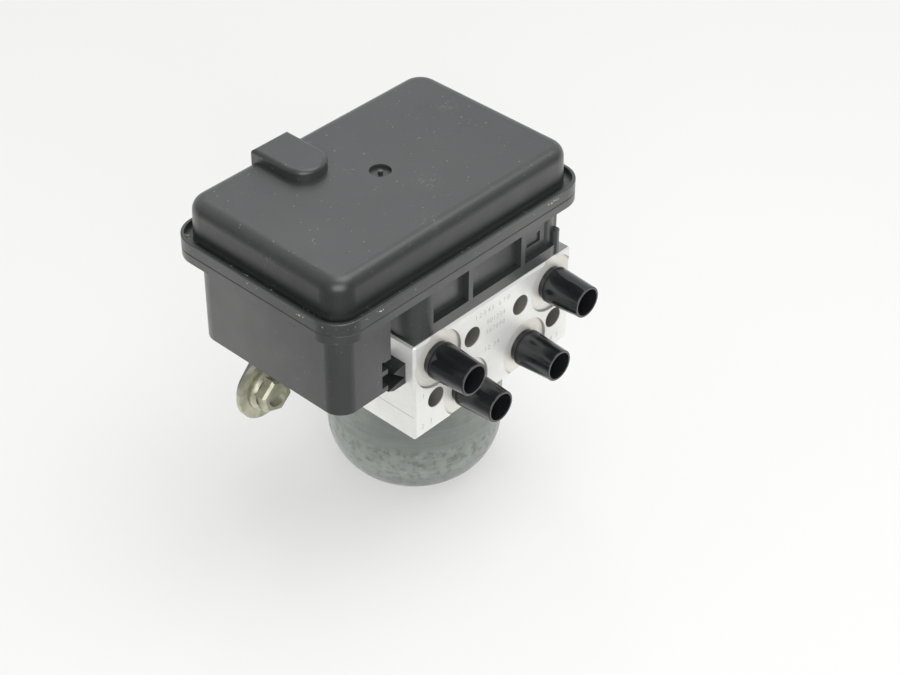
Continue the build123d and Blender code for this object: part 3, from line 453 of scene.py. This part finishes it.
@dataclass(frozen=True)
class PlatedCan:
    """Deep-drawn steel under dull zinc: smooth above, mottled and speckled round the drawn end.

    A pair says where a change starts and where it is full, going down. The mottled band below the block's
    reflected shadow is painted lighter, as painted light, and the can is painted darker towards the bottom,
    as painted shade.
    """

    name: str
    body: str
    dark: str
    light: str
    pit_colour: str = "#4d534e"
    glint_colour: str = "#c9cec8"
    # Where the mottled band begins and is full; it is also painted lighter, as painted light.
    mottled: Pair = (32.0, 28.0)
    wander: float = 4.0
    bottom_shade: Pair = (18.0, 7.2)
    roughness: float = 0.42
    metallic: float = 0.8

    def build(self) -> bpy.types.Material:
        """Make the material."""
        s = Surface(self.name)
        uneven = s.add(
            "ShaderNodeMath",
            {"operation": "MULTIPLY_ADD"},
            {0: s.clouds(size_mm=20.0, low=0.0, high=1.0), 1: self.wander * MM, 2: s.axes["Z"]},
        )
        # Below the block's reflected shadow the can is mottled like its plating, and painted lighter there:
        # painted light.
        lower = s.ramp(uneven.outputs[0], *self.mottled)
        drawn = s.clouds(size_mm=22.0, low=0.3, high=0.7, lay=Lay.ROUND_Z, detail=2.0)
        colour = s.cover(self.body, self.dark, drawn, amount=0.2)
        blotch = s.clouds(size_mm=6.0, low=0.40, high=0.60, detail=6.0, shift=0.4)
        colour = s.cover(colour, self.light, blotch, lower, amount=0.6)
        shade = s.clouds(size_mm=2.6, low=0.49, high=0.68, detail=6.0, shift=1.4)
        colour = s.cover(colour, self.dark, shade, lower, amount=0.55)
        # Towards the bottom the can is painted darker: painted shade round the drawn end.
        colour = s.cover(colour, self.dark, s.ramp(s.axes["Z"], *self.bottom_shade), amount=0.65)
        pits = s.clouds(size_mm=1.6, low=0.62, high=0.70)
        colour = s.cover(colour, self.pit_colour, pits, lower, amount=0.4)
        glints = s.clouds(size_mm=1.2, low=0.68, high=0.74, detail=2.0, shift=0.9)
        colour = s.cover(colour, self.glint_colour, glints, amount=0.18)
        s.feed(Base_Color=colour, Metallic=self.metallic)
        s.vary("Roughness", blotch, self.roughness, below=0.06, above=0.08)
        s.relief(s.product(blotch, lower), depth_mm=0.05, strength=0.4)
        s.relief(drawn, depth_mm=0.02, strength=0.2)
        return s.material


@dataclass(frozen=True)
class GlossPlastic:
    """Polished soft polythene: near black and glossy, slightly wavy, with faint handling marks.

    The rim of a cap's mouth is painted a little paler, as a painted highlight on its edge.
    """

    name: str
    body: str
    pale: str
    rim_edge: Pair = (-55.7, -55.95)
    rim_shading_colour: str = "#3a3733"
    roughness: float = 0.12
    specular: float = 0.55
    ior: float = 1.52

    def build(self) -> bpy.types.Material:
        """Make the material."""
        s = Surface(self.name)
        smear = s.clouds(size_mm=6.0, low=0.40, high=0.75, detail=5.0)
        colour = s.cover(self.body, self.pale, smear, amount=0.4)
        # The mouth's rim is painted paler: a painted highlight.
        colour = s.cover(colour, self.rim_shading_colour, s.ramp(s.axes["Y"], *self.rim_edge), amount=0.5)
        s.feed(Base_Color=colour, IOR=self.ior, Specular_IOR_Level=self.specular)
        s.vary("Roughness", s.clouds(size_mm=2.5, low=0.35, high=0.7), self.roughness, above=0.08)
        s.relief(s.clouds(size_mm=5.0, low=0.2, high=0.8, detail=1.0), depth_mm=0.06, strength=0.3)
        return s.material


@dataclass(frozen=True)
class PlatedSteel:
    """Plated or turned steel and other small metal parts, with fine lines and a little tarnish."""

    name: str
    body: str
    dark: str
    lay: Lay = Lay.EVEN
    roughness: float = 0.34
    metallic: float = 1.0
    stain: float = 0.5

    def build(self) -> bpy.types.Material:
        """Make the material."""
        s = Surface(self.name)
        lines = s.clouds(size_mm=5.0, low=0.3, high=0.7, lay=self.lay, detail=4.0)
        tarnish = s.clouds(size_mm=3.5, low=0.45, high=0.70, detail=5.0, shift=0.5)
        colour = s.cover(self.body, self.dark, lines, amount=0.35)
        colour = s.cover(colour, self.dark, tarnish, amount=self.stain)
        s.feed(Base_Color=colour, Metallic=self.metallic)
        s.vary("Roughness", tarnish, self.roughness, above=0.16)
        s.relief(lines, depth_mm=0.015, strength=0.4)
        return s.material


@dataclass(frozen=True)
class StackedLayers:
    """Layers one above another, core laminations or a winding's turns: fine dark grooves between."""

    name: str
    body: str
    groove: str
    pitch_mm: float
    metallic: float
    roughness: float
    rise: float = 0.3

    def build(self) -> bpy.types.Material:
        """Make the material."""
        s = Surface(self.name)
        wave = s.waves(s.axes["Z"], self.pitch_mm)
        ridge = s.add("ShaderNodeMapRange", inputs={"Value": wave, "From Min": -1.0}).outputs[0]
        colour = s.cover(self.groove, self.body, ridge)
        colour = s.cover(colour, self.groove, s.clouds(size_mm=3.0, low=0.4, high=0.8), amount=0.3)
        s.feed(Base_Color=colour, Metallic=self.metallic)
        s.vary("Roughness", s.clouds(size_mm=1.5, low=0.3, high=0.7), self.roughness, above=0.12)
        s.relief(ridge, self.pitch_mm * self.rise, strength=0.6)
        return s.material


@dataclass(frozen=True)
class SolderMask:
    """A circuit board's green varnish over copper tracks: glossy, with the tracks just raised."""

    name: str
    body: str
    track: str
    track_pitch: float = 6.0
    track_w: float = 0.05
    track_level: float = 0.7
    roughness: float = 0.25
    varnish: float = 0.4

    def build(self) -> bpy.types.Material:
        """Make the material."""
        s = Surface(self.name)
        grid = {"Vector": s.place, "Scale": 1 / (self.track_pitch * MM), "Mortar Size": self.track_w}
        cells = s.add("ShaderNodeTexBrick", inputs=grid)
        tracks = s.product(cells.outputs["Fac"], self.track_level)
        colour = s.cover(self.body, self.track, tracks)
        colour = s.cover(colour, self.track, s.clouds(size_mm=8.0, low=0.3, high=0.8), amount=0.3)
        s.feed(Base_Color=colour, Coat_Weight=self.varnish)
        s.vary("Roughness", s.clouds(size_mm=2.0, low=0.3, high=0.7), self.roughness, above=0.15)
        s.relief(tracks, depth_mm=0.04, strength=0.5)
        return s.material


@dataclass(frozen=True)
class PressedPowder:
    """Sintered or pressed powder, such as ferrite magnets and carbon brushes: dark and matt."""

    name: str
    body: str
    pale: str
    metallic: float = 0.2
    roughness: float = 0.5

    def build(self) -> bpy.types.Material:
        """Make the material."""
        s = Surface(self.name)
        grit = s.clouds(size_mm=0.7, low=0.4, high=0.7, detail=4.0)
        s.feed(Base_Color=s.cover(self.body, self.pale, grit, amount=0.6), Metallic=self.metallic)
        s.vary("Roughness", grit, self.roughness, above=0.22)
        s.relief(grit, depth_mm=0.04, strength=0.5)
        return s.material


def dress(finish: bpy.types.Material, *nodes: str) -> None:
    """Give CAD nodes their finish.

    Args:
        finish: The material.
        nodes: The nodes' names.
    """
    for name in nodes:
        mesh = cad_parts[name].data
        mesh.materials.clear()
        mesh.materials.append(finish)
    LOG.info("dressed %s in %s", ", ".join(nodes), finish.name)


def numbered(family: str, *kinds: str) -> list[str]:
    """Name the two nodes of each kind in a family, such as pump_plug_1 and pump_plug_2."""
    return [f"{family}_{kind}_{i}" for kind in kinds for i in (1, 2)]


def put_in_scene(name: str, data: bpy.types.ID) -> bpy.types.Object:
    """Make an object of a mesh, a lamp or a camera.

    Args:
        name: The object's name.
        data: What it holds.

    Returns:
        The new object, at the origin.
    """
    made = bpy.data.objects.new(name, data)
    bpy.context.collection.objects.link(made)
    return made


def facing_front(place: Point, turn_deg: float = 0.0) -> Matrix:
    """Find the move that stands a shape drawn along Z on a spot, so that its top points to -Y.

    Args:
        place: The spot, in millimetres.
        turn_deg: How far the shape is first turned about its own axis.

    Returns:
        The move, in metres.
    """
    upright = Matrix.Rotation(math.radians(90), 4, "X")
    turned = Matrix.Rotation(math.radians(turn_deg), 4, "Z")
    return Matrix.Translation(Vector(place) * MM) @ upright @ turned


def place_piece(
    name: str, shape: bmesh.types.BMesh, finish: bpy.types.Material
) -> bpy.types.Object:
    """Turn a bmesh into a piece that rides on the fixed body.

    Args:
        name: The piece's name.
        shape: The bmesh, in metres in the frame; it is freed.
        finish: The piece's material.

    Returns:
        The new object.
    """
    bmesh.ops.remove_doubles(shape, verts=shape.verts, dist=WELD_MM * MM)
    bmesh.ops.recalc_face_normals(shape, faces=shape.faces)
    sharpest = math.radians(SMOOTH_BELOW_DEG)
    for edge in shape.edges:
        edge.smooth = len(edge.link_faces) == 2 and edge.calc_face_angle(0.0) < sharpest
    for face in shape.faces:
        face.smooth = True
    mesh = bpy.data.meshes.new(name)
    shape.to_mesh(mesh)
    shape.free()
    mesh.materials.append(finish)
    piece = put_in_scene(name, mesh)
    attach(piece, FIXED_BODY)
    LOG.info("made %s", name)
    return piece


def turn_profile(shape: bmesh.types.BMesh, profile: tuple[Pair, ...], steps: int) -> None:
    """Turn a profile round the Z axis.

    Args:
        shape: The bmesh to add to.
        profile: Points as radius and height, in millimetres.
        steps: Faces round the axis.
    """
    line = [shape.verts.new((radius * MM, 0.0, z * MM)) for radius, z in profile]
    edges = [shape.edges.new(pair) for pair in zip(line, line[1:])]
    bmesh.ops.spin(
        shape,
        geom=[*line, *edges],
        cent=(0, 0, 0),
        axis=(0, 0, 1),
        angle=math.tau,
        steps=steps,
        use_merge=True,
        use_duplicate=False,
    )


@dataclass(frozen=True)
class Thread:
    """One thread ridge round the Z axis, standing on a wall and flat at its crest."""

    root_r: float
    crest_r: float
    pitch: float
    turns: float
    start: float
    foot_share: float = 0.42
    crest_share: float = 0.18
    steps: int = 28

    def cut(self, shape: bmesh.types.BMesh) -> None:
        """Add the ridge to a bmesh.

        Args:
            shape: The bmesh to add to.
        """
        foot = self.pitch * self.foot_share
        crest = foot * self.crest_share
        section = (
            (self.root_r, self.start - foot),
            (self.crest_r, self.start - crest),
            (self.crest_r, self.start + crest),
            (self.root_r, self.start + foot),
        )
        line = [shape.verts.new((radius * MM, 0.0, z * MM)) for radius, z in section]
        edges = [shape.edges.new(pair) for pair in zip(line, line[1:] + line[:1])]
        bmesh.ops.spin(
            shape,
            geom=[*line, *edges, shape.faces.new(line)],
            cent=(0, 0, 0),
            axis=(0, 0, 1),
            dvec=(0, 0, self.pitch * MM / self.steps),
            angle=math.tau * self.turns,
            steps=round(self.steps * self.turns),
            use_merge=False,
            use_duplicate=False,
        )


@dataclass
class ControlUnit:
    """The cover, the moulded housing and the electronics in them."""

    scuffs: tuple[Scuff, ...] = (
        Scuff((26.0, 8.0, 140.2), 6.0, Lay.ALONG_Y),
        Scuff((-79.0, -8.0, 136.0), 6.0, Lay.ALONG_Z),
        Scuff((-13.0, -19.5, 140.2), 7.0, Lay.ALONG_X),
        Scuff((-30.0, -34.0, 136.0), 8.0, Lay.ALONG_X),
    )
    # The cover's trough: painted darker, as painted shade, with dust crumbs in it.
    trough: Band = Band((124.2, 124.5), (125.1, 125.4))
    # The cover's side wall that is painted darker, as painted shade.
    shaded_wall: Band = Band((126.7, 127.1), (136.8, 139.8))
    marks: tuple[Point, ...] = (
        (-80.3, 20.2, 118.9),
        (-80.3, 18.0, 118.9),
        (-80.3, -21.9, 118.9),
        (-80.3, -23.9, 118.9),
    )

    def build(self) -> None:
        """Dress the unit's pieces."""
        cover = MouldedNylon(
            "cover_glass_filled_nylon",
            "#303231",
            "#464947",
            roughness=0.37,
            scuffs=self.scuffs,
            trough=self.trough,
            shaded_wall=self.shaded_wall,
        )
        housing = MouldedNylon(
            "housing_glass_filled_nylon",
            "#2f3130",
            "#444745",
            roughness=0.37,
            specular=0.92,
            dust=0.15,
            marks=self.marks,
        )
        spacer = MouldedNylon("spacer_black_nylon", "#202122", "#3a3b3b", roughness=0.38)
        epoxy = MouldedNylon("chip_epoxy", "#1b1c1e", "#303234", roughness=0.55, specular=0.5)
        capacitor = PlatedSteel("capacitor_aluminium_can", "#9fa3a6", "#6d7174")
        pin = PlatedSteel("pin_tinned_bronze", "#c9a765", "#8a6a3a", Lay.ALONG_Z)
        coil = StackedLayers(
            "coil_enamelled_copper", "#b4652f", "#5a2c14", pitch_mm=0.6, metallic=0.8, roughness=0.28
        )
        dress(cover.build(), "ecu_cover")
        dress(housing.build(), "ecu_housing")
        dress(spacer.build(), "side_spacer", "brush_card")
        dress(SolderMask("board_solder_mask", "#1c4a2c", "#2f6a41").build(), "circuit_board")
        dress(epoxy.build(), "board_chips", "motor_lead")
        dress(capacitor.build(), "board_capacitors")
        dress(pin.build(), "connector_pins")
        dress(coil.build(), "solenoid_coils")
        dress(PlatedSteel("screw_zinc_plated", "#b9bbb8", "#7f827f").build(), "ecu_screws")


@dataclass
class ValveBlock:
    """The machined block, its valves, pump and accumulators.

    The ports and the blind holes have their places on the front face, in X and Z.
    """

    ports: tuple[Pair, ...] = ((-28.7, 83.7), (30.7, 83.7), (16.6, 63.0), (-14.6, 63.0))
    holes: tuple[Pair, ...] = ((-11.6, 83.4), (13.6, 83.4), (-30.0, 67.5), (32.0, 67.5))

    def build(self) -> None:
        """Dress the block and what it holds."""
        block = MilledAluminium(
            "block_milled_aluminium", "#e7e7e4", "#cdcdc8", spots=self.ports, bores=self.holes
        )
        valve = PlatedSteel("valve_turned_steel", "#b4b6b8", "#7c7f82", Lay.ROUND_Z)
        pump = PlatedSteel("pump_ground_steel", "#bfc1c3", "#8b8e91", Lay.ALONG_X, roughness=0.24)
        accumulator = PlatedSteel(
            "accumulator_anodised_aluminium", "#a9abad", "#7d8083", Lay.ALONG_Y, roughness=0.4
        )
        dress(block.build(), "valve_block")
        dress(valve.build(), "inlet_valves", "outlet_valves", "eccentric_ring")
        dress(pump.build(), *numbered("pump", "piston", "sleeve", "plug"))
        dress(accumulator.build(), *numbered("accumulator", "piston", "cap"))


@dataclass
class Marking:
    """Plain digits peened lightly into the block's front face.

    Each row has its text, the place of its lower left corner in X and Z, and its letter spacing.
    """

    rows: tuple[tuple[str, float, float, float], ...] = (
        ("12345 678", -10.4, 89.6, 1.45),
        ("901234", -4.2, 84.4, 1.1),
        ("567890", -4.6, 80.2, 1.15),
        ("12 34", -5.3, 72.8, 1.2),
        ("1", -37.0, 70.6, 1.0),
        ("2 3", -37.4, 57.2, 1.6),
        ("4 5", 30.6, 57.2, 1.3),
    )
    front_y: float = -39.4
    height: float = 3.0
    relief: float = 0.02
    thinning: float = 0.06
    curve_steps: int = 3

    def build(self) -> None:
        """Make the digits as one thin piece."""
        peened = PlatedSteel("peened_aluminium", "#b2b2ad", "#9d9d97", roughness=0.5, metallic=0.3).build()
        shape = bmesh.new()
        for text, x, z, spacing in self.rows:
            self._row(shape, text, x, z, spacing)
        place_piece("block_digits", shape, peened)

    def _row(self, shape: bmesh.types.BMesh, text: str, x: float, z: float, spacing: float) -> None:
        """Add one row of digits, upright on the front face.

        Args:
            shape: The bmesh to add to.
            text: The digits.
            x: The row's left end.
            z: The row's foot.
            spacing: How far apart the digits stand, 1 being the font's own.
        """
        curve = bpy.data.curves.new("digits", "FONT")
        curve.body = text
        curve.size = self.height * MM
        curve.space_character = spacing
        curve.extrude = self.relief * MM
        curve.offset = -self.thinning * MM
        curve.resolution_u = self.curve_steps
        row = bpy.data.objects.new("digits", curve)
        mesh = bpy.data.meshes.new_from_object(row)
        before = set(shape.verts)
        shape.from_mesh(mesh)
        fresh = [v for v in shape.verts if v not in before]
        bmesh.ops.transform(shape, matrix=facing_front((x, self.front_y, z)), verts=fresh)
        bpy.data.objects.remove(row)
        bpy.data.curves.remove(curve)
        bpy.data.meshes.remove(mesh)


@dataclass
class PumpMotor:
    """The motor's can and everything that it holds."""

    def build(self) -> None:
        """Dress the motor's pieces."""
        can = PlatedCan("can_dull_zinc_plate", "#818682", "#555a56", "#979c98")
        end_plate = PlatedSteel("end_plate_zinc_plate", "#9aa09b", "#6f7570", roughness=0.42)
        screw = PlatedSteel("motor_screw_zinc_plate", "#a9aba8", "#767976")
        core = StackedLayers(
            "core_laminations", "#8d9094", "#4b4d50", pitch_mm=0.5, metallic=0.9, roughness=0.4
        )
        winding = StackedLayers(
            "winding_enamelled_copper", "#b4652f", "#5a2c14", pitch_mm=0.7, metallic=0.8, roughness=0.28
        )
        commutator = PlatedSteel("commutator_copper", "#c07a4c", "#7c4525", Lay.ROUND_Z, roughness=0.3)
        shaft = PlatedSteel("shaft_ground_steel", "#c4c6c8", "#8f9295", Lay.ROUND_Z, roughness=0.2)
        bearing = PlatedSteel("bearing_steel", "#b6b8ba", "#7a7d80", Lay.ROUND_Z, roughness=0.26)
        dress(can.build(), "motor_can")
        dress(end_plate.build(), "motor_end_plate")
        dress(screw.build(), "motor_screws")
        dress(PressedPowder("magnet_ferrite", "#2e2f31", "#4a4b4e").build(), *numbered("motor", "magnet"))
        dress(PressedPowder("brush_carbon", "#29282a", "#45403c").build(), "brush_1", "brush_2")
        dress(core.build(), "rotor_core")
        dress(winding.build(), "rotor_windings")
        dress(commutator.build(), "commutator")
        dress(shaft.build(), "motor_shaft")
        dress(bearing.build(), "shaft_bearing_lower", "shaft_bearing_upper")


@dataclass
class PortCaps:
    """The four transport caps in the pipe ports."""

    count: int = 4

    def build(self) -> None:
        """Dress the caps."""
        black = GlossPlastic("cap_black_polythene", "#1b1c1e", "#2c2d2f").build()
        dress(black, *[f"port_cap_{i}" for i in range(1, self.count + 1)])


@dataclass
class Mounting:
    """The bracket, the washer and a detailed flange bolt that stands for the plain one.

    The bolt is drawn with its seat at height 0: head above, shank below. The slope from the hexagon
    starts inside its corners and above the flange by `neck`. A point of `flange_edge` is how far it
    is past the flange's radius, and its height as a share of the flange's thickness.
    """

    seat: Point = (-44.3, 34.0, 38.2)
    turn_deg: float = 12.0
    flats: float = 13.0
    head_h: float = 7.0
    crown_h: float = 1.0
    crown_taper: float = 0.87
    crown_cuts: int = 3
    dish_r: float = 4.3
    dish_h: float = 1.8
    dish_taper: float = 0.8
    dish_steps: int = 24
    flange_r: float = 8.6
    flange_t: float = 1.5
    flange_edge: tuple[Pair, ...] = ((-0.9, 1.0), (-0.2, 0.75), (0.0, 0.4), (-0.15, 0.0))
    neck: Pair = (0.6, 1.1)
    root_r: float = 3.5
    shank_l: float = 5.4
    tip_h: float = 0.8
    round_steps: int = 48
    thread: Thread = Thread(root_r=3.48, crest_r=4.0, pitch=1.25, turns=2.6, start=-4.1)

    def build(self) -> None:
        """Dress the bracket and washer and make the bolt."""
        zinc = PlatedSteel("bolt_olive_zinc_plate", "#b9b8a6", "#83826f", roughness=0.4, metallic=0.8).build()
        bracket = PlatedSteel("bracket_zinc_plate", "#a3a39a", "#7f8078", roughness=0.42, stain=0.25)
        dress(bracket.build(), "mounting_bracket")
        dress(PlatedSteel("bracket_screw_zinc_plate", "#b0b1ac", "#7b7c77").build(), "bracket_screws")
        dress(zinc, "mounting_washer")
        bolt = place_piece("flange_bolt", self._bolt(), zinc)
        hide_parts("mounting_bolt")

    def _bolt(self) -> bmesh.types.BMesh:
        """Shape the bolt in its place.

        Returns:
            The bolt's bmesh.
        """
        shape = bmesh.new()
        self._add_head(shape)
        turn_profile(shape, self._flange_and_shank(), self.round_steps)
        self.thread.cut(shape)
        bmesh.ops.transform(shape, matrix=facing_front(self.seat, self.turn_deg), verts=shape.verts)
        return shape

    def _corner_r(self) -> float:
        """Find the radius of the hexagon's corners."""
        return self.flats / math.sqrt(3)

    def _add_head(self, shape: bmesh.types.BMesh) -> None:
        """Add the hexagon with its sloping crown and the dish in its top.

        Args:
            shape: The bmesh to add to.
        """
        straight = self.head_h - self.crown_h
        bmesh.ops.create_cone(
            shape,
            cap_ends=False,
            segments=6,
            radius1=self._corner_r() * MM,
            radius2=self._corner_r() * MM,
            depth=straight * MM,
            matrix=Matrix.Translation((0, 0, straight / 2 * MM)),
        )
        rim = [e for e in shape.edges if all(v.co.z > straight / 2 * MM for v in e.verts)]
        crown = self._raise_edges(shape, rim, self.crown_taper, self.crown_h)
        bmesh.ops.subdivide_edges(shape, edges=self._edges_of(shape, crown), cuts=self.crown_cuts)
        above = (self.head_h - self.crown_h / 2) * MM
        outer = [e for e in shape.edges if all(v.co.z > above for v in e.verts)]
        top = Matrix.Translation((0, 0, self.head_h * MM))
        dish = bmesh.ops.create_circle(shape, segments=self.dish_steps, radius=self.dish_r * MM, matrix=top)
        inner = self._edges_of(shape, dish["verts"])
        bmesh.ops.bridge_loops(shape, edges=[*outer, *inner])
        low = self._raise_edges(shape, inner, self.dish_taper, -self.dish_h)
        bmesh.ops.contextual_create(shape, geom=self._edges_of(shape, low))

    def _flange_and_shank(self) -> tuple[Pair, ...]:
        """Draw the profile below the hexagon: the sloping flange, its rounded edge and the shank.

        Returns:
            Points as radius and height.
        """
        inset, rise = self.neck
        edge = [(self.flange_r + past, self.flange_t * share) for past, share in self.flange_edge]
        return (
            (self._corner_r() - inset, self.flange_t + rise),
            *edge,
            (self.root_r, 0.0),
            (self.root_r, self.tip_h - self.shank_l),
            (self.root_r - self.tip_h, -self.shank_l),
            (0.0, -self.shank_l),
        )

    @staticmethod
    def _edges_of(shape: bmesh.types.BMesh, verts: list) -> list:
        """Find the edges that have both ends among some vertices."""
        return [e for e in shape.edges if all(v in verts for v in e.verts)]

    @staticmethod
    def _raise_edges(shape: bmesh.types.BMesh, edges: list, taper: float, rise: float) -> list:
        """Extrude a loop of edges up the axis, and narrow it.

        Args:
            shape: The bmesh that has the edges.
            edges: The loop.
            taper: How wide the new loop is, as a share of the old one.
            rise: How far up it is, in millimetres.

        Returns:
            The new loop's vertices.
        """
        raised = bmesh.ops.extrude_edge_only(shape, edges=edges)
        fresh = [g for g in raised["geom"] if isinstance(g, bmesh.types.BMVert)]
        bmesh.ops.scale(shape, vec=(taper, taper, 1.0), verts=fresh)
        bmesh.ops.translate(shape, vec=(0, 0, rise * MM), verts=fresh)
        return fresh


@dataclass(frozen=True)
class Softbox:
    """A square lamp that faces the object: its place, its side and its power."""

    name: str
    at: Point
    side: float
    watts: float


@dataclass
class Studio:
    """A pale floor, soft plain light and the camera.

    Levels are brightnesses, 1 being white. What the camera sees and what the object mirrors have
    levels of their own, and a pair gives a level's two ends, or the two distances between them.
    """

    paper: str = "#fafaf8"
    paper_shade: str = "#f6f7f6"
    floor_size: float = 6000.0
    floor_segments: int = 8
    glow_level: float = 0.95
    glow_from_to: Pair = (150.0, 900.0)
    glow_share: Pair = (0.46, 0.85)
    to_camera: Point = (-0.73, -0.68, 0.0)
    mirrored_from_to: Pair = (120.0, 35.0)
    mirrored_floor: Pair = (0.25, 1.3)
    air: str = "#fbfcff"
    backdrop: float = 1.0
    world_level: float = 0.56
    up_and_away: Point = (0.73, 0.68, 0.25)
    turned_away: Pair = (-0.3, 1.0)
    mirrored_room: Pair = (0.25, 0.96)
    lamps: tuple[Softbox, ...] = (
        Softbox("key_softbox", (180.0, -260.0, 1150.0), 900.0, 6.0),
        Softbox("fill_softbox", (-700.0, -850.0, 420.0), 900.0, 8.0),
        Softbox("window", (400.0, 470.0, 900.0), 130.0, 0.45),
    )
    lamps_aim: Point = (-15.0, 0.0, 80.0)
    camera_at: Point = (-439.2, -424.1, 538.85)
    azimuth: float = -47.24
    elevation: float = 37.348
    roll: float = 0.394
    lens: float = 84.395
    sensor: float = 36.0
    shift_y: float = -0.0428

    def build(self) -> None:
        """Set up the floor, the light, the camera and the colour handling."""
        self._floor()
        self._world()
        for lamp in self.lamps:
            self._hang(lamp)
        self._camera()
        bpy.context.scene.view_settings.view_transform = "Standard"
        LOG.info("studio ready")

    def _floor(self) -> None:
        """Lay the floor: it glows to the camera and in reflections, and still takes the shadow."""
        shape = bmesh.new()
        bmesh.ops.create_grid(
            shape,
            x_segments=self.floor_segments,
            y_segments=self.floor_segments,
            size=self.floor_size / 2 * MM,
        )
        mesh = bpy.data.meshes.new("floor")
        shape.to_mesh(mesh)
        shape.free()
        floor = put_in_scene("floor", mesh)
        s = Surface("floor_paper")
        paper = s.cover(self.paper, self.paper_shade, s.clouds(size_mm=90.0, low=0.3, high=0.7), amount=0.3)
        s.feed(Base_Color=paper, Roughness=0.9, Specular_IOR_Level=0.1)
        rays = s.add("ShaderNodeLightPath").outputs
        away = s.distance((0.0, 0.0, 0.0))
        shown = s.product(rays["Is Camera Ray"], s.ramp(away, *self.glow_from_to, *self.glow_share))
        front = s.add("ShaderNodeVectorMath", {"operation": "DOT_PRODUCT"}, {0: s.place, 1: self.to_camera})
        mirrored = s.ramp(front.outputs["Value"], *self.mirrored_from_to, *self.mirrored_floor)
        level = s.add("ShaderNodeMix", inputs={0: rays["Is Glossy Ray"], 2: self.glow_level, 3: mirrored})
        glow = s.add("ShaderNodeEmission", inputs={"Color": linear(self.paper), "Strength": level.outputs[0]})
        share = s.add("ShaderNodeMath", {"operation": "MAXIMUM"}, {0: shown, 1: rays["Is Glossy Ray"]})
        layers = {0: share.outputs[0], 1: s.shader.outputs[0], 2: glow.outputs[0]}
        mixed = s.add("ShaderNodeMixShader", inputs=layers)
        s.tree.links.new(mixed.outputs[0], s.output.inputs["Surface"])
        mesh.materials.append(s.material)

    def _world(self) -> None:
        """Surround the object with plain pale light; what it mirrors is dimmer behind the camera."""
        world = bpy.data.worlds.new("pale_room")
        bpy.context.scene.world = world
        world.use_nodes = True
        room = Graph(world.node_tree)
        rays = room.add("ShaderNodeLightPath").outputs
        way = room.add("ShaderNodeTexCoord").outputs["Generated"]
        facing = {0: way, 1: self.up_and_away}
        along = room.add("ShaderNodeVectorMath", {"operation": "DOT_PRODUCT"}, facing).outputs["Value"]
        reads = {"Value": along, "From Min": self.turned_away[0], "From Max": self.turned_away[1]}
        gives = {"To Min": self.mirrored_room[0], "To Max": self.mirrored_room[1]}
        mirrored = room.add("ShaderNodeMapRange", inputs={**reads, **gives}).outputs[0]
        plain = room.add("ShaderNodeMix", inputs={0: rays["Is Glossy Ray"], 2: self.world_level, 3: mirrored})
        seen = {0: rays["Is Camera Ray"], 2: plain.outputs[0], 3: self.backdrop}
        level = room.add("ShaderNodeMix", inputs=seen).outputs[0]
        sky = room.add("ShaderNodeBackground", inputs={"Color": linear(self.air), "Strength": level})
        room.add("ShaderNodeOutputWorld", inputs={"Surface": sky.outputs[0]})

    def _hang(self, softbox: Softbox) -> None:
        """Hang one lamp so that it faces the object.

        Args:
            softbox: The lamp's settings.
        """
        data = bpy.data.lights.new(softbox.name, "AREA")
        data.size = softbox.side * MM
        data.energy = softbox.watts
        lamp = put_in_scene(softbox.name, data)
        lamp.location = Vector(softbox.at) * MM
        aim = Vector(self.lamps_aim) * MM - lamp.location
        lamp.rotation_euler = aim.to_track_quat("-Z", "Y").to_euler()

    def _camera(self) -> None:
        """Stand the camera at its place and angle."""
        data = bpy.data.cameras.new("camera")
        data.lens = self.lens
        data.sensor_width = self.sensor
        data.shift_y = self.shift_y
        camera = put_in_scene("camera", data)
        camera.location = Vector(self.camera_at) * MM
        turn, lift = math.radians(self.azimuth), math.radians(self.elevation)
        back = Vector((math.sin(turn) * math.cos(lift), -math.cos(turn) * math.cos(lift), math.sin(lift)))
        right = Vector((math.cos(turn), math.sin(turn), 0.0))
        facing = Matrix((right, back.cross(right), back)).transposed().to_4x4()
        facing = facing @ Matrix.Rotation(math.radians(self.roll), 4, "Z")
        camera.rotation_euler = facing.to_euler()
        bpy.context.scene.camera = camera


def main() -> None:
    """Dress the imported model, add its small hardware and set up the studio."""
    logging.basicConfig(level=logging.INFO, format="%(message)s")
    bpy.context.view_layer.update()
    for part in (ControlUnit(), ValveBlock(), Marking(), PumpMotor(), PortCaps(), Mounting(), Studio()):
        LOG.info("building %s", type(part).__name__)
        part.build()


if __name__ == "__main__":
    main()
